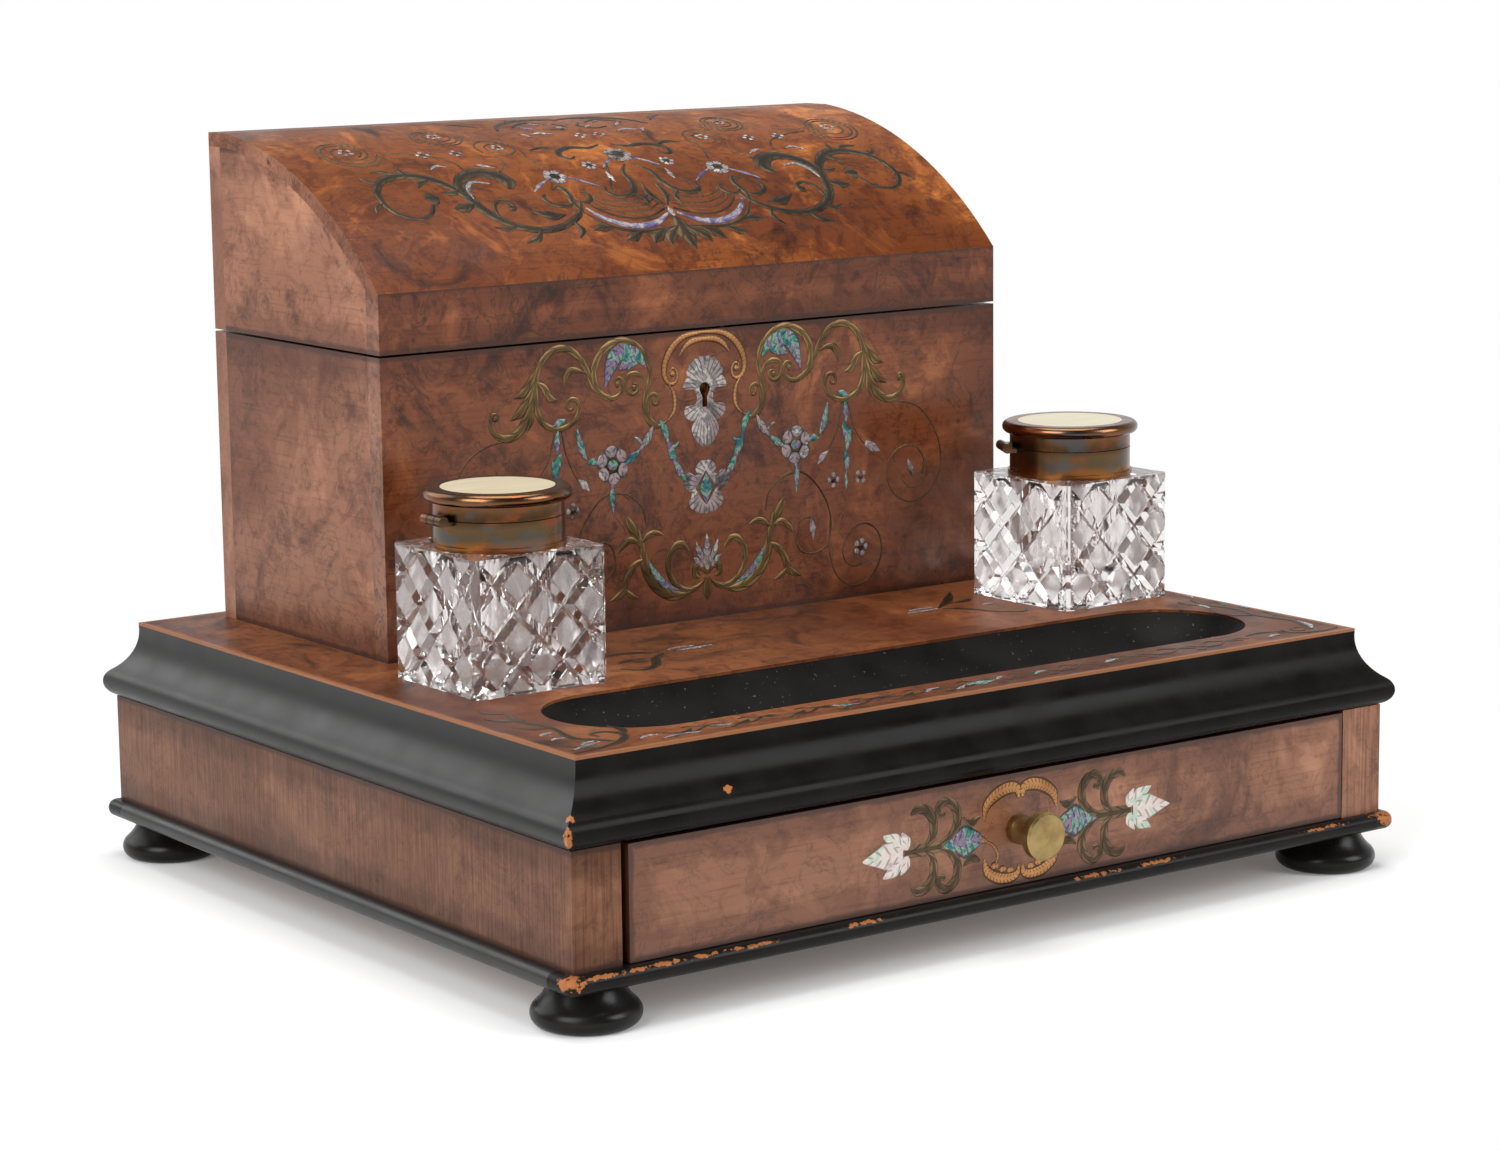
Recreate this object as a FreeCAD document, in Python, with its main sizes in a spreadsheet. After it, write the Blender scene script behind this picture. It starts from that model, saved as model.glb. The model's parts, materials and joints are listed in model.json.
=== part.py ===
"""Walnut desk stand: a drawer base with a pen tray, two cut-glass inkwells and a domed stationery box.

Millimetres. The origin is the middle of the footprint at the level of the table, +X is to the right,
+Y to the back and +Z up. Sizes stand in the sheet "dims"; the levels and faces worked out from them
stand in the sheet "places".
"""
import FreeCAD, Part
import math
import os

import Sketcher

SIZES = (
    ("box_width", 266, "stationery box, across"),
    ("box_depth", 115, "stationery box, front to back"),
    ("box_height", 104, "box body, platform to seam"),
    ("box_wall", 8, "box boards"),
    ("box_floor_thick", 5, "box floor"),
    ("box_side_margin", 37, "carcase side to box side"),
    ("box_back_margin", 15.5, "box back to carcase back"),
    ("divider_thick", 4, "stationery dividers"),
    ("divider_front_drop", 46, "front divider below the seam"),
    ("divider_back_drop", 26, "back divider below the seam"),
    ("front_slot", 27, "space in front of the front divider"),
    ("middle_slot", 31, "space between the dividers"),
    ("lid_gap", 0.8, "seam between box and lid"),
    ("lid_height", 70, "seam to crown"),
    ("lid_rail_height", 20.6, "seam to the arris where the dome starts"),
    ("lid_wall", 8, "lid rails and cheeks"),
    ("lid_flat", 12, "level strip behind the dome"),
    ("dome_radius", 163, "outside of the dome"),
    ("dome_thick", 5, "bent dome panel"),
    ("foot_height", 14, "bun feet"),
    ("foot_radius", 17.5, "widest part of a foot"),
    ("foot_neck_radius", 11.6, "neck of a foot"),
    ("foot_bulge_radius", 4, "roundness of a foot"),
    ("foot_bulge_turn", 50, "degrees that the bulge of a foot turns above its widest part"),
    ("foot_hollow_radius", 14, "hollow between bulge and neck of a foot"),
    ("foot_inset", 13, "carcase face to foot centre"),
    ("spigot_radius", 4, "turned spigot above a foot"),
    ("spigot_length", 5, "turned spigot above a foot"),
    ("base_thick", 6, "bottom board and base moulding"),
    ("base_over", 4.5, "base moulding beyond the carcase"),
    ("base_inward", 8, "base moulding under the carcase"),
    ("base_corner", 4, "rounded ends of the front and back strips"),
    ("base_nose", 2.8, "rounded nose of the base moulding"),
    ("side_height", 38.5, "carcase sides"),
    ("side_thick", 18, "carcase sides"),
    ("carcase_back_thick", 10, "carcase back"),
    ("top_height", 26.9, "platform with its cornice"),
    ("veneer_thick", 1, "walnut sheet on the platform"),
    ("top_inset", 6.5, "top edge behind the carcase face"),
    ("cornice_out", 3.6, "cornice nose beyond the carcase face"),
    ("cornice_inward", 14, "cornice strip behind the carcase face"),
    ("nose_radius", 5.2, "round nose of the cornice"),
    ("cove_radius", 18, "hollow of the cornice"),
    ("tray_setback", 25.75, "carcase front to tray edge"),
    ("tray_width", 58, "pen tray hollow"),
    ("tray_depth", 14, "pen tray hollow"),
    ("tray_margin", 27.5, "carcase side to tray end, before the shift"),
    ("tray_shift", 3.5, "tray to the right of the middle"),
    ("tray_wall", 6, "wood round the hollow"),
    ("tray_to_well", 11.25, "tray edge to inkwells"),
    ("well_to_box", 21, "inkwells to box front"),
    ("left_well_inset", 53, "carcase side to left well centre"),
    ("right_well_inset", 39.5, "carcase side to right well centre"),
    ("right_well_turn", 2.5, "degrees the right well is turned"),
    ("right_hinge_turn", -30, "degrees its cap hinge is turned further"),
    ("drawer_gap_left", 2.8, "drawer to left carcase side"),
    ("drawer_gap_right", 0.5, "drawer to right carcase side"),
    ("drawer_gap_low", 0.3, "drawer above the bottom board"),
    ("drawer_gap_high", 0.8, "drawer below the cornice"),
    ("drawer_gap_back", 12, "drawer to carcase back"),
    ("drawer_front_thick", 14, "drawer front"),
    ("drawer_side_thick", 7, "drawer sides and back"),
    ("drawer_side_drop", 6, "drawer sides lower than the front"),
    ("drawer_bottom_thick", 4, "drawer bottom"),
    ("groove_depth", 3, "grooves that hold the drawer bottom"),
    ("groove_rise", 3, "wood under the grooves"),
    ("knob_out", 15, "knob beyond the drawer front"),
    ("knob_offset", 3.2, "knob to the right of the drawer's middle"),
    ("knob_face_radius", 8, "flat face of the knob"),
    ("knob_edge", 3.5, "edge of the knob face"),
    ("knob_bevel", 0.8, "bevel of the knob face"),
    ("knob_collar_radius", 5, "foot of the knob"),
    ("knob_collar_height", 2.5, "foot of the knob"),
    ("knob_neck_sweep", 9, "hollow of the knob neck"),
    ("knob_stem_radius", 2, "screw stem of the knob"),
    ("nut_width", 8, "knob nut across flats"),
    ("nut_thick", 3, "knob nut"),
    ("hinge_inset", 58, "box side to the middle of a lid hinge"),
    ("hinge_length", 38, "lid hinges"),
    ("leaf_thick", 1.4, "hinge leaves"),
    ("leaf_width", 7, "hinge leaves let into the boards"),
    ("barrel_radius", 3, "hinge knuckles"),
    ("barrel_gap", 0.4, "knuckles behind the box back"),
    ("knuckle_gap", 0.4, "between knuckles"),
    ("hinge_pin_radius", 1.3, "hinge pins"),
    ("pin_clearance", 0.05, "running clearance on pins"),
    ("screw_radius", 1.1, "hinge screws"),
    ("screw_head_radius", 2.1, "hinge screws"),
    ("screw_head_height", 1, "hinge screws"),
    ("screw_length", 9, "hinge screws"),
    ("screw_pitch", 12, "hinge screws, one to the next"),
    ("lock_width", 40, "lock case"),
    ("lock_height", 30, "lock case"),
    ("lock_thick", 5, "lock case"),
    ("lock_wall", 0.8, "front plate of the lock case"),
    ("bolt_high", 3.5, "bolt below the seam"),
    ("bolt_height", 4, "lock bolt"),
    ("bolt_thick", 2.2, "lock bolt"),
    ("bolt_length", 18, "lock bolt"),
    ("bolt_end", 4, "end of the drawn bolt, right of the middle"),
    ("bolt_travel", 5, "throw of the bolt"),
    ("bolt_to_staple", 1, "drawn bolt to the staple"),
    ("bolt_clearance", 0.25, "bolt in its channel"),
    ("staple_thick", 1.6, "staple under the lid"),
    ("staple_post", 2, "staple post"),
    ("staple_tooth", 2, "staple tooth"),
    ("staple_room", 0.7, "room round the staple"),
    ("keyhole_drop", 21, "keyhole below the seam"),
    ("keyhole_radius", 2.2, "round of the keyhole"),
    ("keyhole_slot", 2, "slot of the keyhole"),
    ("keyhole_length", 6.5, "slot of the keyhole"),
    ("shell_width", 18, "pearl escutcheon"),
    ("shell_height", 25, "pearl escutcheon"),
    ("shell_thick", 1, "pearl escutcheon"),
    ("shell_rise", 8.5, "keyhole to top of escutcheon"),
    ("bottle_size", 51.5, "inkwell glass, square"),
    ("bottle_height", 45.7, "inkwell glass to the shoulder"),
    ("bottle_bevel", 2.1, "cut corners of the glass"),
    ("bottle_floor", 10, "glass under the ink"),
    ("neck_radius", 19.5, "glass neck"),
    ("neck_height", 9, "glass neck"),
    ("bore_radius", 16.5, "ink bore"),
    ("collar_radius", 22, "brass collar and cap skirt"),
    ("collar_height", 10, "brass collar"),
    ("flange_radius", 22.7, "foot of the collar"),
    ("flange_height", 1.6, "foot of the collar"),
    ("cap_gap", 0.3, "seam between collar and cap"),
    ("cap_skirt", 4.8, "cap skirt"),
    ("cap_bore", 18.5, "inside of the cap"),
    ("cap_roof", 1.5, "cap roof under its disc"),
    ("rim_radius", 24.75, "rolled rim of the cap"),
    ("rim_height", 4.3, "rolled rim of the cap"),
    ("disc_radius", 19, "cream disc"),
    ("disc_thick", 1.4, "cream disc"),
    ("disc_clearance", 0.05, "disc in its seat"),
    ("cap_hinge_reach", 24.6, "well centre to cap hinge"),
    ("cap_hinge_width", 12, "cap hinge"),
    ("cap_knuckle", 4.4, "middle knuckle of the cap hinge"),
    ("cap_barrel_radius", 1.8, "cap hinge knuckles"),
    ("cap_pin_radius", 0.8, "cap hinge pin"),
    ("ear_thick", 1.4, "ears that carry the knuckles"),
    ("ear_root", 20.6, "ears start this far from the well centre"),
)

PLACES = (
    ("carcase_width", "dims.box_width + 2 * dims.box_side_margin"),
    ("well_middle", "dims.tray_setback + dims.tray_width + dims.tray_to_well + dims.bottle_size / 2"),
    ("box_setback", "well_middle + dims.bottle_size / 2 + dims.well_to_box"),
    ("carcase_depth", "box_setback + dims.box_depth + dims.box_back_margin"),
    ("half_width", "carcase_width / 2"),
    ("front_face", "-(carcase_depth + dims.base_over - dims.knob_out) / 2"),
    ("back_face", "front_face + carcase_depth"),
    ("carcase_low", "dims.foot_height + dims.base_thick"),
    ("cornice_low", "carcase_low + dims.side_height"),
    ("top_face", "cornice_low + dims.top_height"),
    ("board_high", "top_face - dims.veneer_thick"),
    ("box_face", "front_face + box_setback"),
    ("box_rear", "box_face + dims.box_depth"),
    ("box_half", "dims.box_width / 2"),
    ("box_inside", "box_half - dims.box_wall"),
    ("box_floor_high", "top_face + dims.box_floor_thick"),
    ("seam_level", "top_face + dims.box_height"),
    ("lid_low", "seam_level + dims.lid_gap"),
    ("hinge_across", "box_half - dims.hinge_inset"),
    ("hinge_rear", "box_rear + dims.barrel_radius + dims.barrel_gap"),
    ("hinge_level", "seam_level + dims.lid_gap / 2"),
    ("tray_middle", "front_face + dims.tray_setback + dims.tray_width / 2"),
    ("tray_half", "half_width - dims.tray_margin"),
    ("tray_end", "tray_half - dims.tray_width / 2"),
    ("drawer_left", "-half_width + dims.side_thick + dims.drawer_gap_left"),
    ("drawer_right", "half_width - dims.side_thick - dims.drawer_gap_right"),
    ("drawer_low", "carcase_low + dims.drawer_gap_low"),
    ("drawer_high", "cornice_low - dims.drawer_gap_high"),
    ("drawer_side_high", "drawer_high - dims.drawer_side_drop"),
    ("drawer_bottom_low", "drawer_low + dims.groove_rise"),
    ("drawer_inner", "front_face + dims.drawer_front_thick"),
    ("drawer_rear", "back_face - dims.carcase_back_thick - dims.drawer_gap_back"),
    ("knob_across", "(drawer_left + drawer_right) / 2 + dims.knob_offset"),
    ("knob_level", "(drawer_low + drawer_high) / 2"),
    ("lock_front", "box_face + dims.box_wall - dims.lock_thick"),
    ("keyhole_level", "seam_level - dims.keyhole_drop"),
    ("staple_left", "dims.bolt_end + dims.bolt_to_staple"),
    ("staple_right", "staple_left + dims.bolt_travel + dims.staple_post"),
    ("staple_front", "lock_front + dims.lock_wall + dims.staple_room"),
    ("bolt_low", "seam_level - dims.bolt_high - dims.bolt_height"),
    ("staple_low", "bolt_low - 2 * dims.bolt_clearance - dims.staple_tooth"),
    ("shell_high", "keyhole_level + dims.shell_rise"),
    ("collar_high", "dims.bottle_height + dims.collar_height"),
    ("cap_low", "collar_high + dims.cap_gap"),
    ("cap_high", "dims.cap_skirt + dims.rim_height"),
    ("cap_hinge_level", "collar_high + dims.cap_gap / 2"),
)

SIDES = (("left", -1), ("right", 1))
UP = FreeCAD.Vector(0, 0, 1)
TOUCH = 1e-6
NUT_CORNERS = 6
NUT_CORNER = 360 / NUT_CORNERS

doc = FreeCAD.newDocument("desk_stand")
dims = doc.addObject("Spreadsheet::Sheet", "dims")
for row, (alias, number, meaning) in enumerate(SIZES, 1):
    dims.set(f"A{row}", meaning)
    dims.set(f"B{row}", str(number))
    dims.setAlias(f"B{row}", alias)
doc.recompute()
places = doc.addObject("Spreadsheet::Sheet", "places")
for row, (alias, formula) in enumerate(PLACES, 1):
    places.set(f"A{row}", "=" + formula)
    places.setAlias(f"A{row}", alias)
doc.recompute()
nodes = []


def value(text):
    """Number that an expression comes to with the present sizes."""
    result = dims.evalExpression(text)
    return float(getattr(result, "Value", result))


def bind(item, **texts):
    """Tie properties of an object to expressions; x, y and z are its place."""
    for name, text in texts.items():
        path = f"Placement.Base.{name}" if name in ("x", "y", "z") else name
        item.setExpression(path, text)
    return item


def keep(item, name):
    """Make an object one of the named pieces."""
    item.Label = name
    nodes.append(item)
    return item


def block(name, x, y, z):
    """Board or rectangular tool; x, y and z are pairs of expressions for its two faces."""
    item = doc.addObject("Part::Box", name)
    bind(item, x=x[0], y=y[0], z=z[0])
    for side, (low, high) in zip(("Length", "Width", "Height"), (x, y, z)):
        item.setExpression(side, f"({high}) - ({low})")
    return item


def rod(name, radius, length, axis, x, y, z):
    """Cylinder that starts at x, y, z and runs along an axis."""
    item = doc.addObject("Part::Cylinder", name)
    item.Placement.Rotation = FreeCAD.Rotation(UP, axis)
    return bind(item, Radius=radius, Height=length, x=x, y=y, z=z)


def joined(name, pieces):
    """Pieces fused into one shape, or kept side by side where they don't touch."""
    item = doc.addObject("Part::MultiFuse", name)
    item.Shapes = pieces
    return item


def cut(name, blank, tools):
    """Blank with tools taken out of it."""
    item = doc.addObject("Part::Cut", name)
    item.Base = blank
    item.Tool = tools[0] if len(tools) == 1 else joined(name + "_tools", tools)
    return item


def new_body(name):
    return doc.addObject("PartDesign::Body", name)


def new_sketch(body, role, lift="0"):
    """Sketch on one of the body's own planes, lifted along the plane's normal."""
    sketch = body.newObject("Sketcher::SketchObject", body.Name + "_sketch")
    plane = next(item for item in body.Origin.OriginFeatures if item.Role == role)
    sketch.AttachmentSupport = (plane, [""])
    sketch.MapMode = "FlatFace"
    sketch.setExpression("AttachmentOffset.Base.z", lift)
    return sketch


def pin(sketch, index, point, across, up):
    """Tie a point of a sketch to two expressions."""
    for kind, axis, text in (("DistanceX", -2, across), ("DistanceY", -1, up)):
        if text == "0":
            sketch.addConstraint(Sketcher.Constraint("PointOnObject", index, point, axis))
        else:
            number = sketch.addConstraint(Sketcher.Constraint(kind, -1, 1, index, point, value(text)))
            sketch.setExpression(f"Constraints[{number}]", text)


def tie_radius(sketch, index, text):
    number = sketch.addConstraint(Sketcher.Constraint("Radius", index, value(text)))
    sketch.setExpression(f"Constraints[{number}]", text)


def match(sketch, first, first_point, second, second_point):
    sketch.addConstraint(Sketcher.Constraint("Coincident", first, first_point, second, second_point))


def arc_between(centre, start, end):
    """Arc that runs anticlockwise from start to end."""
    first = math.atan2(start.y - centre.y, start.x - centre.x)
    last = math.atan2(end.y - centre.y, end.x - centre.x)
    circle = Part.Circle(centre, UP, start.distanceToPoint(centre))
    return Part.ArcOfCircle(circle, first, last if last > first else last + 2 * math.pi)


def arc_centre(start, end, radius):
    """Centre to the left of the way from start to end, at one radius from both."""
    chord = end.sub(start)
    reach = math.sqrt(max(radius ** 2 - chord.Length ** 2 / 4, 0)) / chord.Length
    return start.add(chord.multiply(0.5)).add(FreeCAD.Vector(-2 * chord.y, 2 * chord.x, 0).multiply(reach))


def outline(sketch, corners):
    """Closed outline through corners tied to the sheet. A corner is (across, up) where a straight stretch
    follows, or (across, up, radius, turn) where an arc does: turn is 1 for anticlockwise, -1 for clockwise.
    """
    spots = [FreeCAD.Vector(value(corner[0]), value(corner[1]), 0) for corner in corners]
    ends = []
    for corner, here, there in zip(corners, spots, spots[1:] + spots[:1]):
        if len(corner) == 2:
            index = sketch.addGeometry(Part.LineSegment(here, there))
            ends.append((index, 1, 2))
            continue
        first, last = (here, there) if corner[3] > 0 else (there, here)
        index = sketch.addGeometry(arc_between(arc_centre(first, last, value(corner[2])), first, last))
        ends.append((index, 1, 2) if corner[3] > 0 else (index, 2, 1))
        tie_radius(sketch, index, corner[2])
    for corner, (index, start, end), (after, after_start, _) in zip(corners, ends, ends[1:] + ends[:1]):
        match(sketch, index, end, after, after_start)
        pin(sketch, index, start, corner[0], corner[1])
    return sketch


def rectangle(sketch, x, y):
    return outline(sketch, ((x[0], y[0]), (x[1], y[0]), (x[1], y[1]), (x[0], y[1])))


def circle(sketch, across, up, radius):
    spot = FreeCAD.Vector(value(across), value(up), 0)
    index = sketch.addGeometry(Part.Circle(spot, UP, value(radius)))
    pin(sketch, index, 3, across, up)
    tie_radius(sketch, index, radius)
    return sketch


def stadium(sketch, across, middle, end, half):
    """Long hole about (across, middle) with half-round ends, whose centres lie one end to each side."""
    low, high = f"({middle}) - ({half})", f"({middle}) + ({half})"
    left, right = f"({across}) - ({end})", f"({across}) + ({end})"
    return outline(sketch, (
        (left, low), (right, low, half, 1), (f"{right} + ({half})", middle, half, 1),
        (right, high), (left, high, half, 1), (f"{left} - ({half})", middle, half, 1)))


def pad(body, sketch, length, middle=False, reverse=False):
    feature = body.newObject("PartDesign::Pad", body.Name + "_pad")
    feature.Profile = sketch
    feature.setExpression("Length", length)
    feature.Midplane = middle
    feature.Reversed = reverse
    return feature


def pocket(body, sketch, length=None, middle=False, reverse=False):
    feature = body.newObject("PartDesign::Pocket", body.Name + "_pocket")
    feature.Profile = sketch
    if length:
        feature.setExpression("Length", length)
    else:
        feature.Type = "ThroughAll"
    feature.Midplane = middle
    feature.Reversed = reverse
    return feature


def turned(body, sketch, kind="Revolution"):
    """Full turn of a sketch about its own upright axis."""
    feature = body.newObject("PartDesign::" + kind, body.Name + "_turn")
    feature.Profile = sketch
    feature.ReferenceAxis = (sketch, ["V_Axis"])
    feature.Angle = 360
    return feature


def sheet_turn(item, angle):
    """Turn an object about the upright through its own place."""
    item.Placement.Rotation = FreeCAD.Rotation(UP, 1)
    item.setExpression("Placement.Rotation.Angle", angle)


def bottom_board(feet):
    blank = block("bottom_board_blank",
                  ("-places.half_width + dims.base_inward", "places.half_width - dims.base_inward"),
                  ("places.front_face + dims.base_inward", "places.back_face - dims.base_inward"),
                  ("dims.foot_height", "places.carcase_low"))
    keep(cut("bottom_board", blank, feet), "bottom_board")


def base_strip(name, length, turn, x, y, ends):
    """Half-round strip. Front and back strips run past the corners, so their ends are rounded as well."""
    body = new_body(name)
    half = f"({length}) / 2"
    outer, inner = "-dims.base_over", "dims.base_inward"
    sketch = new_sketch(body, "XY_Plane")
    if ends:
        side, low = f"({half}) - dims.base_corner", "dims.base_corner - dims.base_over"
        outline(sketch, (
            (f"-({half})", inner), (f"-({half})", low, "dims.base_corner", 1), (f"-({side})", outer),
            (side, outer, "dims.base_corner", 1), (half, low), (half, inner)))
    else:
        rectangle(sketch, (f"-({half})", half), (outer, inner))
    bar = pad(body, sketch, "dims.base_thick")
    doc.recompute()
    behind = value(inner if ends else "0")
    chosen = []
    for number, edge in enumerate(bar.Shape.Edges, 1):
        level = abs(edge.Vertexes[0].Z - edge.Vertexes[-1].Z) < TOUCH
        if level and edge.CenterOfMass.y < behind - TOUCH:
            chosen.append(f"Edge{number}")
    nose = body.newObject("PartDesign::Fillet", name + "_nose")
    nose.Base = (bar, chosen)
    nose.setExpression("Radius", "dims.base_nose")
    body.Placement.Rotation = FreeCAD.Rotation(UP, turn)
    keep(bind(body, x=x, y=y, z="dims.foot_height"), name)


def base_mouldings():
    full = "places.carcase_width + 2 * dims.base_over"
    between = "places.carcase_depth - 2 * dims.base_inward"
    middle = "(places.front_face + places.back_face) / 2"
    base_strip("base_moulding_front", full, 0, "0", "places.front_face", True)
    base_strip("base_moulding_back", full, 180, "0", "places.back_face", True)
    base_strip("base_moulding_left", between, -90, "-places.half_width", middle, False)
    base_strip("base_moulding_right", between, 90, "places.half_width", middle, False)


def cornice_section(sketch):
    """Cornice cut across: level top, hollow cove, round nose and level underside; outward is to the left."""
    inner, high = "dims.cornice_inward", "places.board_high - places.cornice_low"
    nose_across = "dims.nose_radius - dims.cornice_out"
    nose_radius, cove_radius = value("dims.nose_radius"), value("dims.cove_radius")
    top = FreeCAD.Vector(value("dims.top_inset"), value(high), 0)
    nose = FreeCAD.Vector(value(nose_across), nose_radius, 0)
    under = FreeCAD.Vector(nose.x, 0, 0)
    gap = nose.sub(top)
    along = (cove_radius ** 2 - (cove_radius + nose_radius) ** 2 + gap.Length ** 2) / (2 * gap.Length)
    aside = math.sqrt(cove_radius ** 2 - along ** 2)
    gap.normalize()
    cove = top.add(FreeCAD.Vector(gap.x * along + gap.y * aside, gap.y * along - gap.x * aside, 0))
    joint = nose.add(cove.sub(nose).normalize().multiply(nose_radius))
    inner_low = FreeCAD.Vector(value(inner), 0, 0)
    inner_high = FreeCAD.Vector(value(inner), value(high), 0)
    back = sketch.addGeometry(Part.LineSegment(inner_low, inner_high))
    level = sketch.addGeometry(Part.LineSegment(inner_high, top))
    hollow = sketch.addGeometry(arc_between(cove, joint, top))
    round_nose = sketch.addGeometry(arc_between(nose, joint, under))
    underside = sketch.addGeometry(Part.LineSegment(under, inner_low))
    match(sketch, back, 2, level, 1)
    match(sketch, level, 2, hollow, 2)
    match(sketch, round_nose, 2, underside, 1)
    match(sketch, underside, 2, back, 1)
    pin(sketch, back, 1, inner, "0")
    pin(sketch, back, 2, inner, high)
    pin(sketch, level, 2, "dims.top_inset", high)
    pin(sketch, round_nose, 3, nose_across, "dims.nose_radius")
    pin(sketch, underside, 1, nose_across, "0")
    tie_radius(sketch, hollow, "dims.cove_radius")
    sketch.addConstraint(Sketcher.Constraint("Tangent", hollow, 1, round_nose, 1))


def cornice_strip(name, length, turn, x, y):
    """Moulded strip along one side of the platform, mitred at both ends."""
    body = new_body(name)
    section = new_sketch(body, "YZ_Plane")
    cornice_section(section)
    pad(body, section, f"{length} + 2 * dims.cornice_out", middle=True)
    mitre = new_sketch(body, "XY_Plane")
    outer = f"{length} / 2 + dims.cornice_out"
    inner = f"{length} / 2 - dims.cornice_inward"
    low, high = "-dims.cornice_out", "dims.cornice_inward"
    outline(mitre, ((outer, low), (outer, high), (inner, high)))
    outline(mitre, ((f"-({outer})", low), (f"-({inner})", high), (f"-({outer})", high)))
    pocket(body, mitre, reverse=True)
    body.Placement.Rotation = FreeCAD.Rotation(UP, turn)
    keep(bind(body, x=x, y=y, z="places.cornice_low"), name)


def cornice():
    middle = "(places.front_face + places.back_face) / 2"
    cornice_strip("cornice_front", "places.carcase_width", 0, "0", "places.front_face")
    cornice_strip("cornice_back", "places.carcase_width", 180, "0", "places.back_face")
    cornice_strip("cornice_left", "places.carcase_depth", -90, "-places.half_width", middle)
    cornice_strip("cornice_right", "places.carcase_depth", 90, "places.half_width", middle)


def foot(name, x, y):
    """Turned bun foot: flat sole, round bulge, hollow neck and a spigot that enters the bottom board."""
    body = new_body(name)
    sketch = new_sketch(body, "XZ_Plane")
    bulge = "dims.foot_bulge_radius"
    sole = f"dims.foot_radius - {bulge}"
    hollow_across = f"{sole} + {bulge} * cos(dims.foot_bulge_turn)"
    hollow_up = f"{bulge} + {bulge} * sin(dims.foot_bulge_turn)"
    outline(sketch, (
        ("0", "0"), (sole, "0", bulge, 1), ("dims.foot_radius", bulge, bulge, 1),
        (hollow_across, hollow_up, "dims.foot_hollow_radius", -1),
        ("dims.foot_neck_radius", "dims.foot_height"), ("dims.spigot_radius", "dims.foot_height"),
        ("dims.spigot_radius", "dims.foot_height + dims.spigot_length"),
        ("0", "dims.foot_height + dims.spigot_length")))
    turned(body, sketch)
    return keep(bind(body, x=x, y=y), name)


def feet():
    made = []
    ends = (("front", "places.front_face + dims.foot_inset"), ("back", "places.back_face - dims.foot_inset"))
    for end, y in ends:
        for side, sign in SIDES:
            made.append(foot(f"foot_{end}_{side}", f"{sign} * (places.half_width - dims.foot_inset)", y))
    return made


def carcase():
    height = ("places.carcase_low", "places.cornice_low")
    depth = ("places.front_face", "places.back_face")
    outside, inside = "places.half_width", "places.half_width - dims.side_thick"
    keep(block("carcase_left_side", (f"-{outside}", f"-({inside})"), depth, height), "carcase_left_side")
    keep(block("carcase_right_side", (inside, outside), depth, height), "carcase_right_side")
    back = ("places.back_face - dims.carcase_back_thick", "places.back_face")
    keep(block("carcase_back", (f"-({inside})", inside), back, height), "carcase_back")


def platform():
    """Board inside the cornice, slotted for the pen tray, under a walnut sheet that runs to the top edge."""
    side = "places.half_width - dims.cornice_inward"
    depth = ("places.front_face + dims.cornice_inward", "places.back_face - dims.cornice_inward")
    height = ("places.cornice_low", "places.board_high")
    board = block("platform_blank", (f"-({side})", side), depth, height)
    reach = "places.tray_half + dims.tray_wall"
    breadth = "dims.tray_width / 2 + dims.tray_wall"
    slot = block("tray_slot", (f"dims.tray_shift - ({reach})", f"dims.tray_shift + {reach}"),
                 (f"places.tray_middle - ({breadth})", f"places.tray_middle + {breadth}"), height)
    keep(cut("platform_board", board, [slot]), "platform_board")

    body = new_body("platform_veneer")
    sketch = new_sketch(body, "XY_Plane")
    edge = "places.half_width - dims.top_inset"
    rectangle(sketch, (f"-({edge})", edge),
              ("places.front_face + dims.top_inset", "places.back_face - dims.top_inset"))
    stadium(sketch, "dims.tray_shift", "places.tray_middle", "places.tray_end", "dims.tray_width / 2")
    pad(body, sketch, "dims.veneer_thick")
    keep(bind(body, z="places.board_high"), "platform_veneer")


def pen_tray():
    """Block let into the board, scooped to a round-bottomed trough with round ends."""
    body = new_body("pen_tray")
    plan = new_sketch(body, "XY_Plane")
    reach = "places.tray_half + dims.tray_wall"
    breadth = "dims.tray_width / 2 + dims.tray_wall"
    rectangle(plan, (f"-({reach})", reach), (f"-({breadth})", breadth))
    pad(body, plan, "places.board_high - places.cornice_low")
    high = "places.board_high - places.cornice_low"
    depth = "dims.tray_depth - dims.veneer_thick"
    half = "dims.tray_width / 2"
    scoop = f"(({half})^2 + ({depth})^2) / (2 * ({depth}))"
    trough = new_sketch(body, "YZ_Plane")
    low = f"({high}) - ({depth})"
    outline(trough, ((half, high), (f"-({half})", high, scoop, 1), ("0", low, scoop, 1)))
    pocket(body, trough, "2 * places.tray_end", middle=True)
    for side, sign in SIDES:
        end = new_sketch(body, "XZ_Plane")
        end.setExpression("AttachmentOffset.Base.x", f"{sign} * places.tray_end")
        outline(end, (("0", low, scoop, 1), (half, high), ("0", high)))
        turned(body, end, "Groove")
    keep(bind(body, x="dims.tray_shift", y="places.tray_middle", z="places.cornice_low"), "pen_tray")


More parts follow.
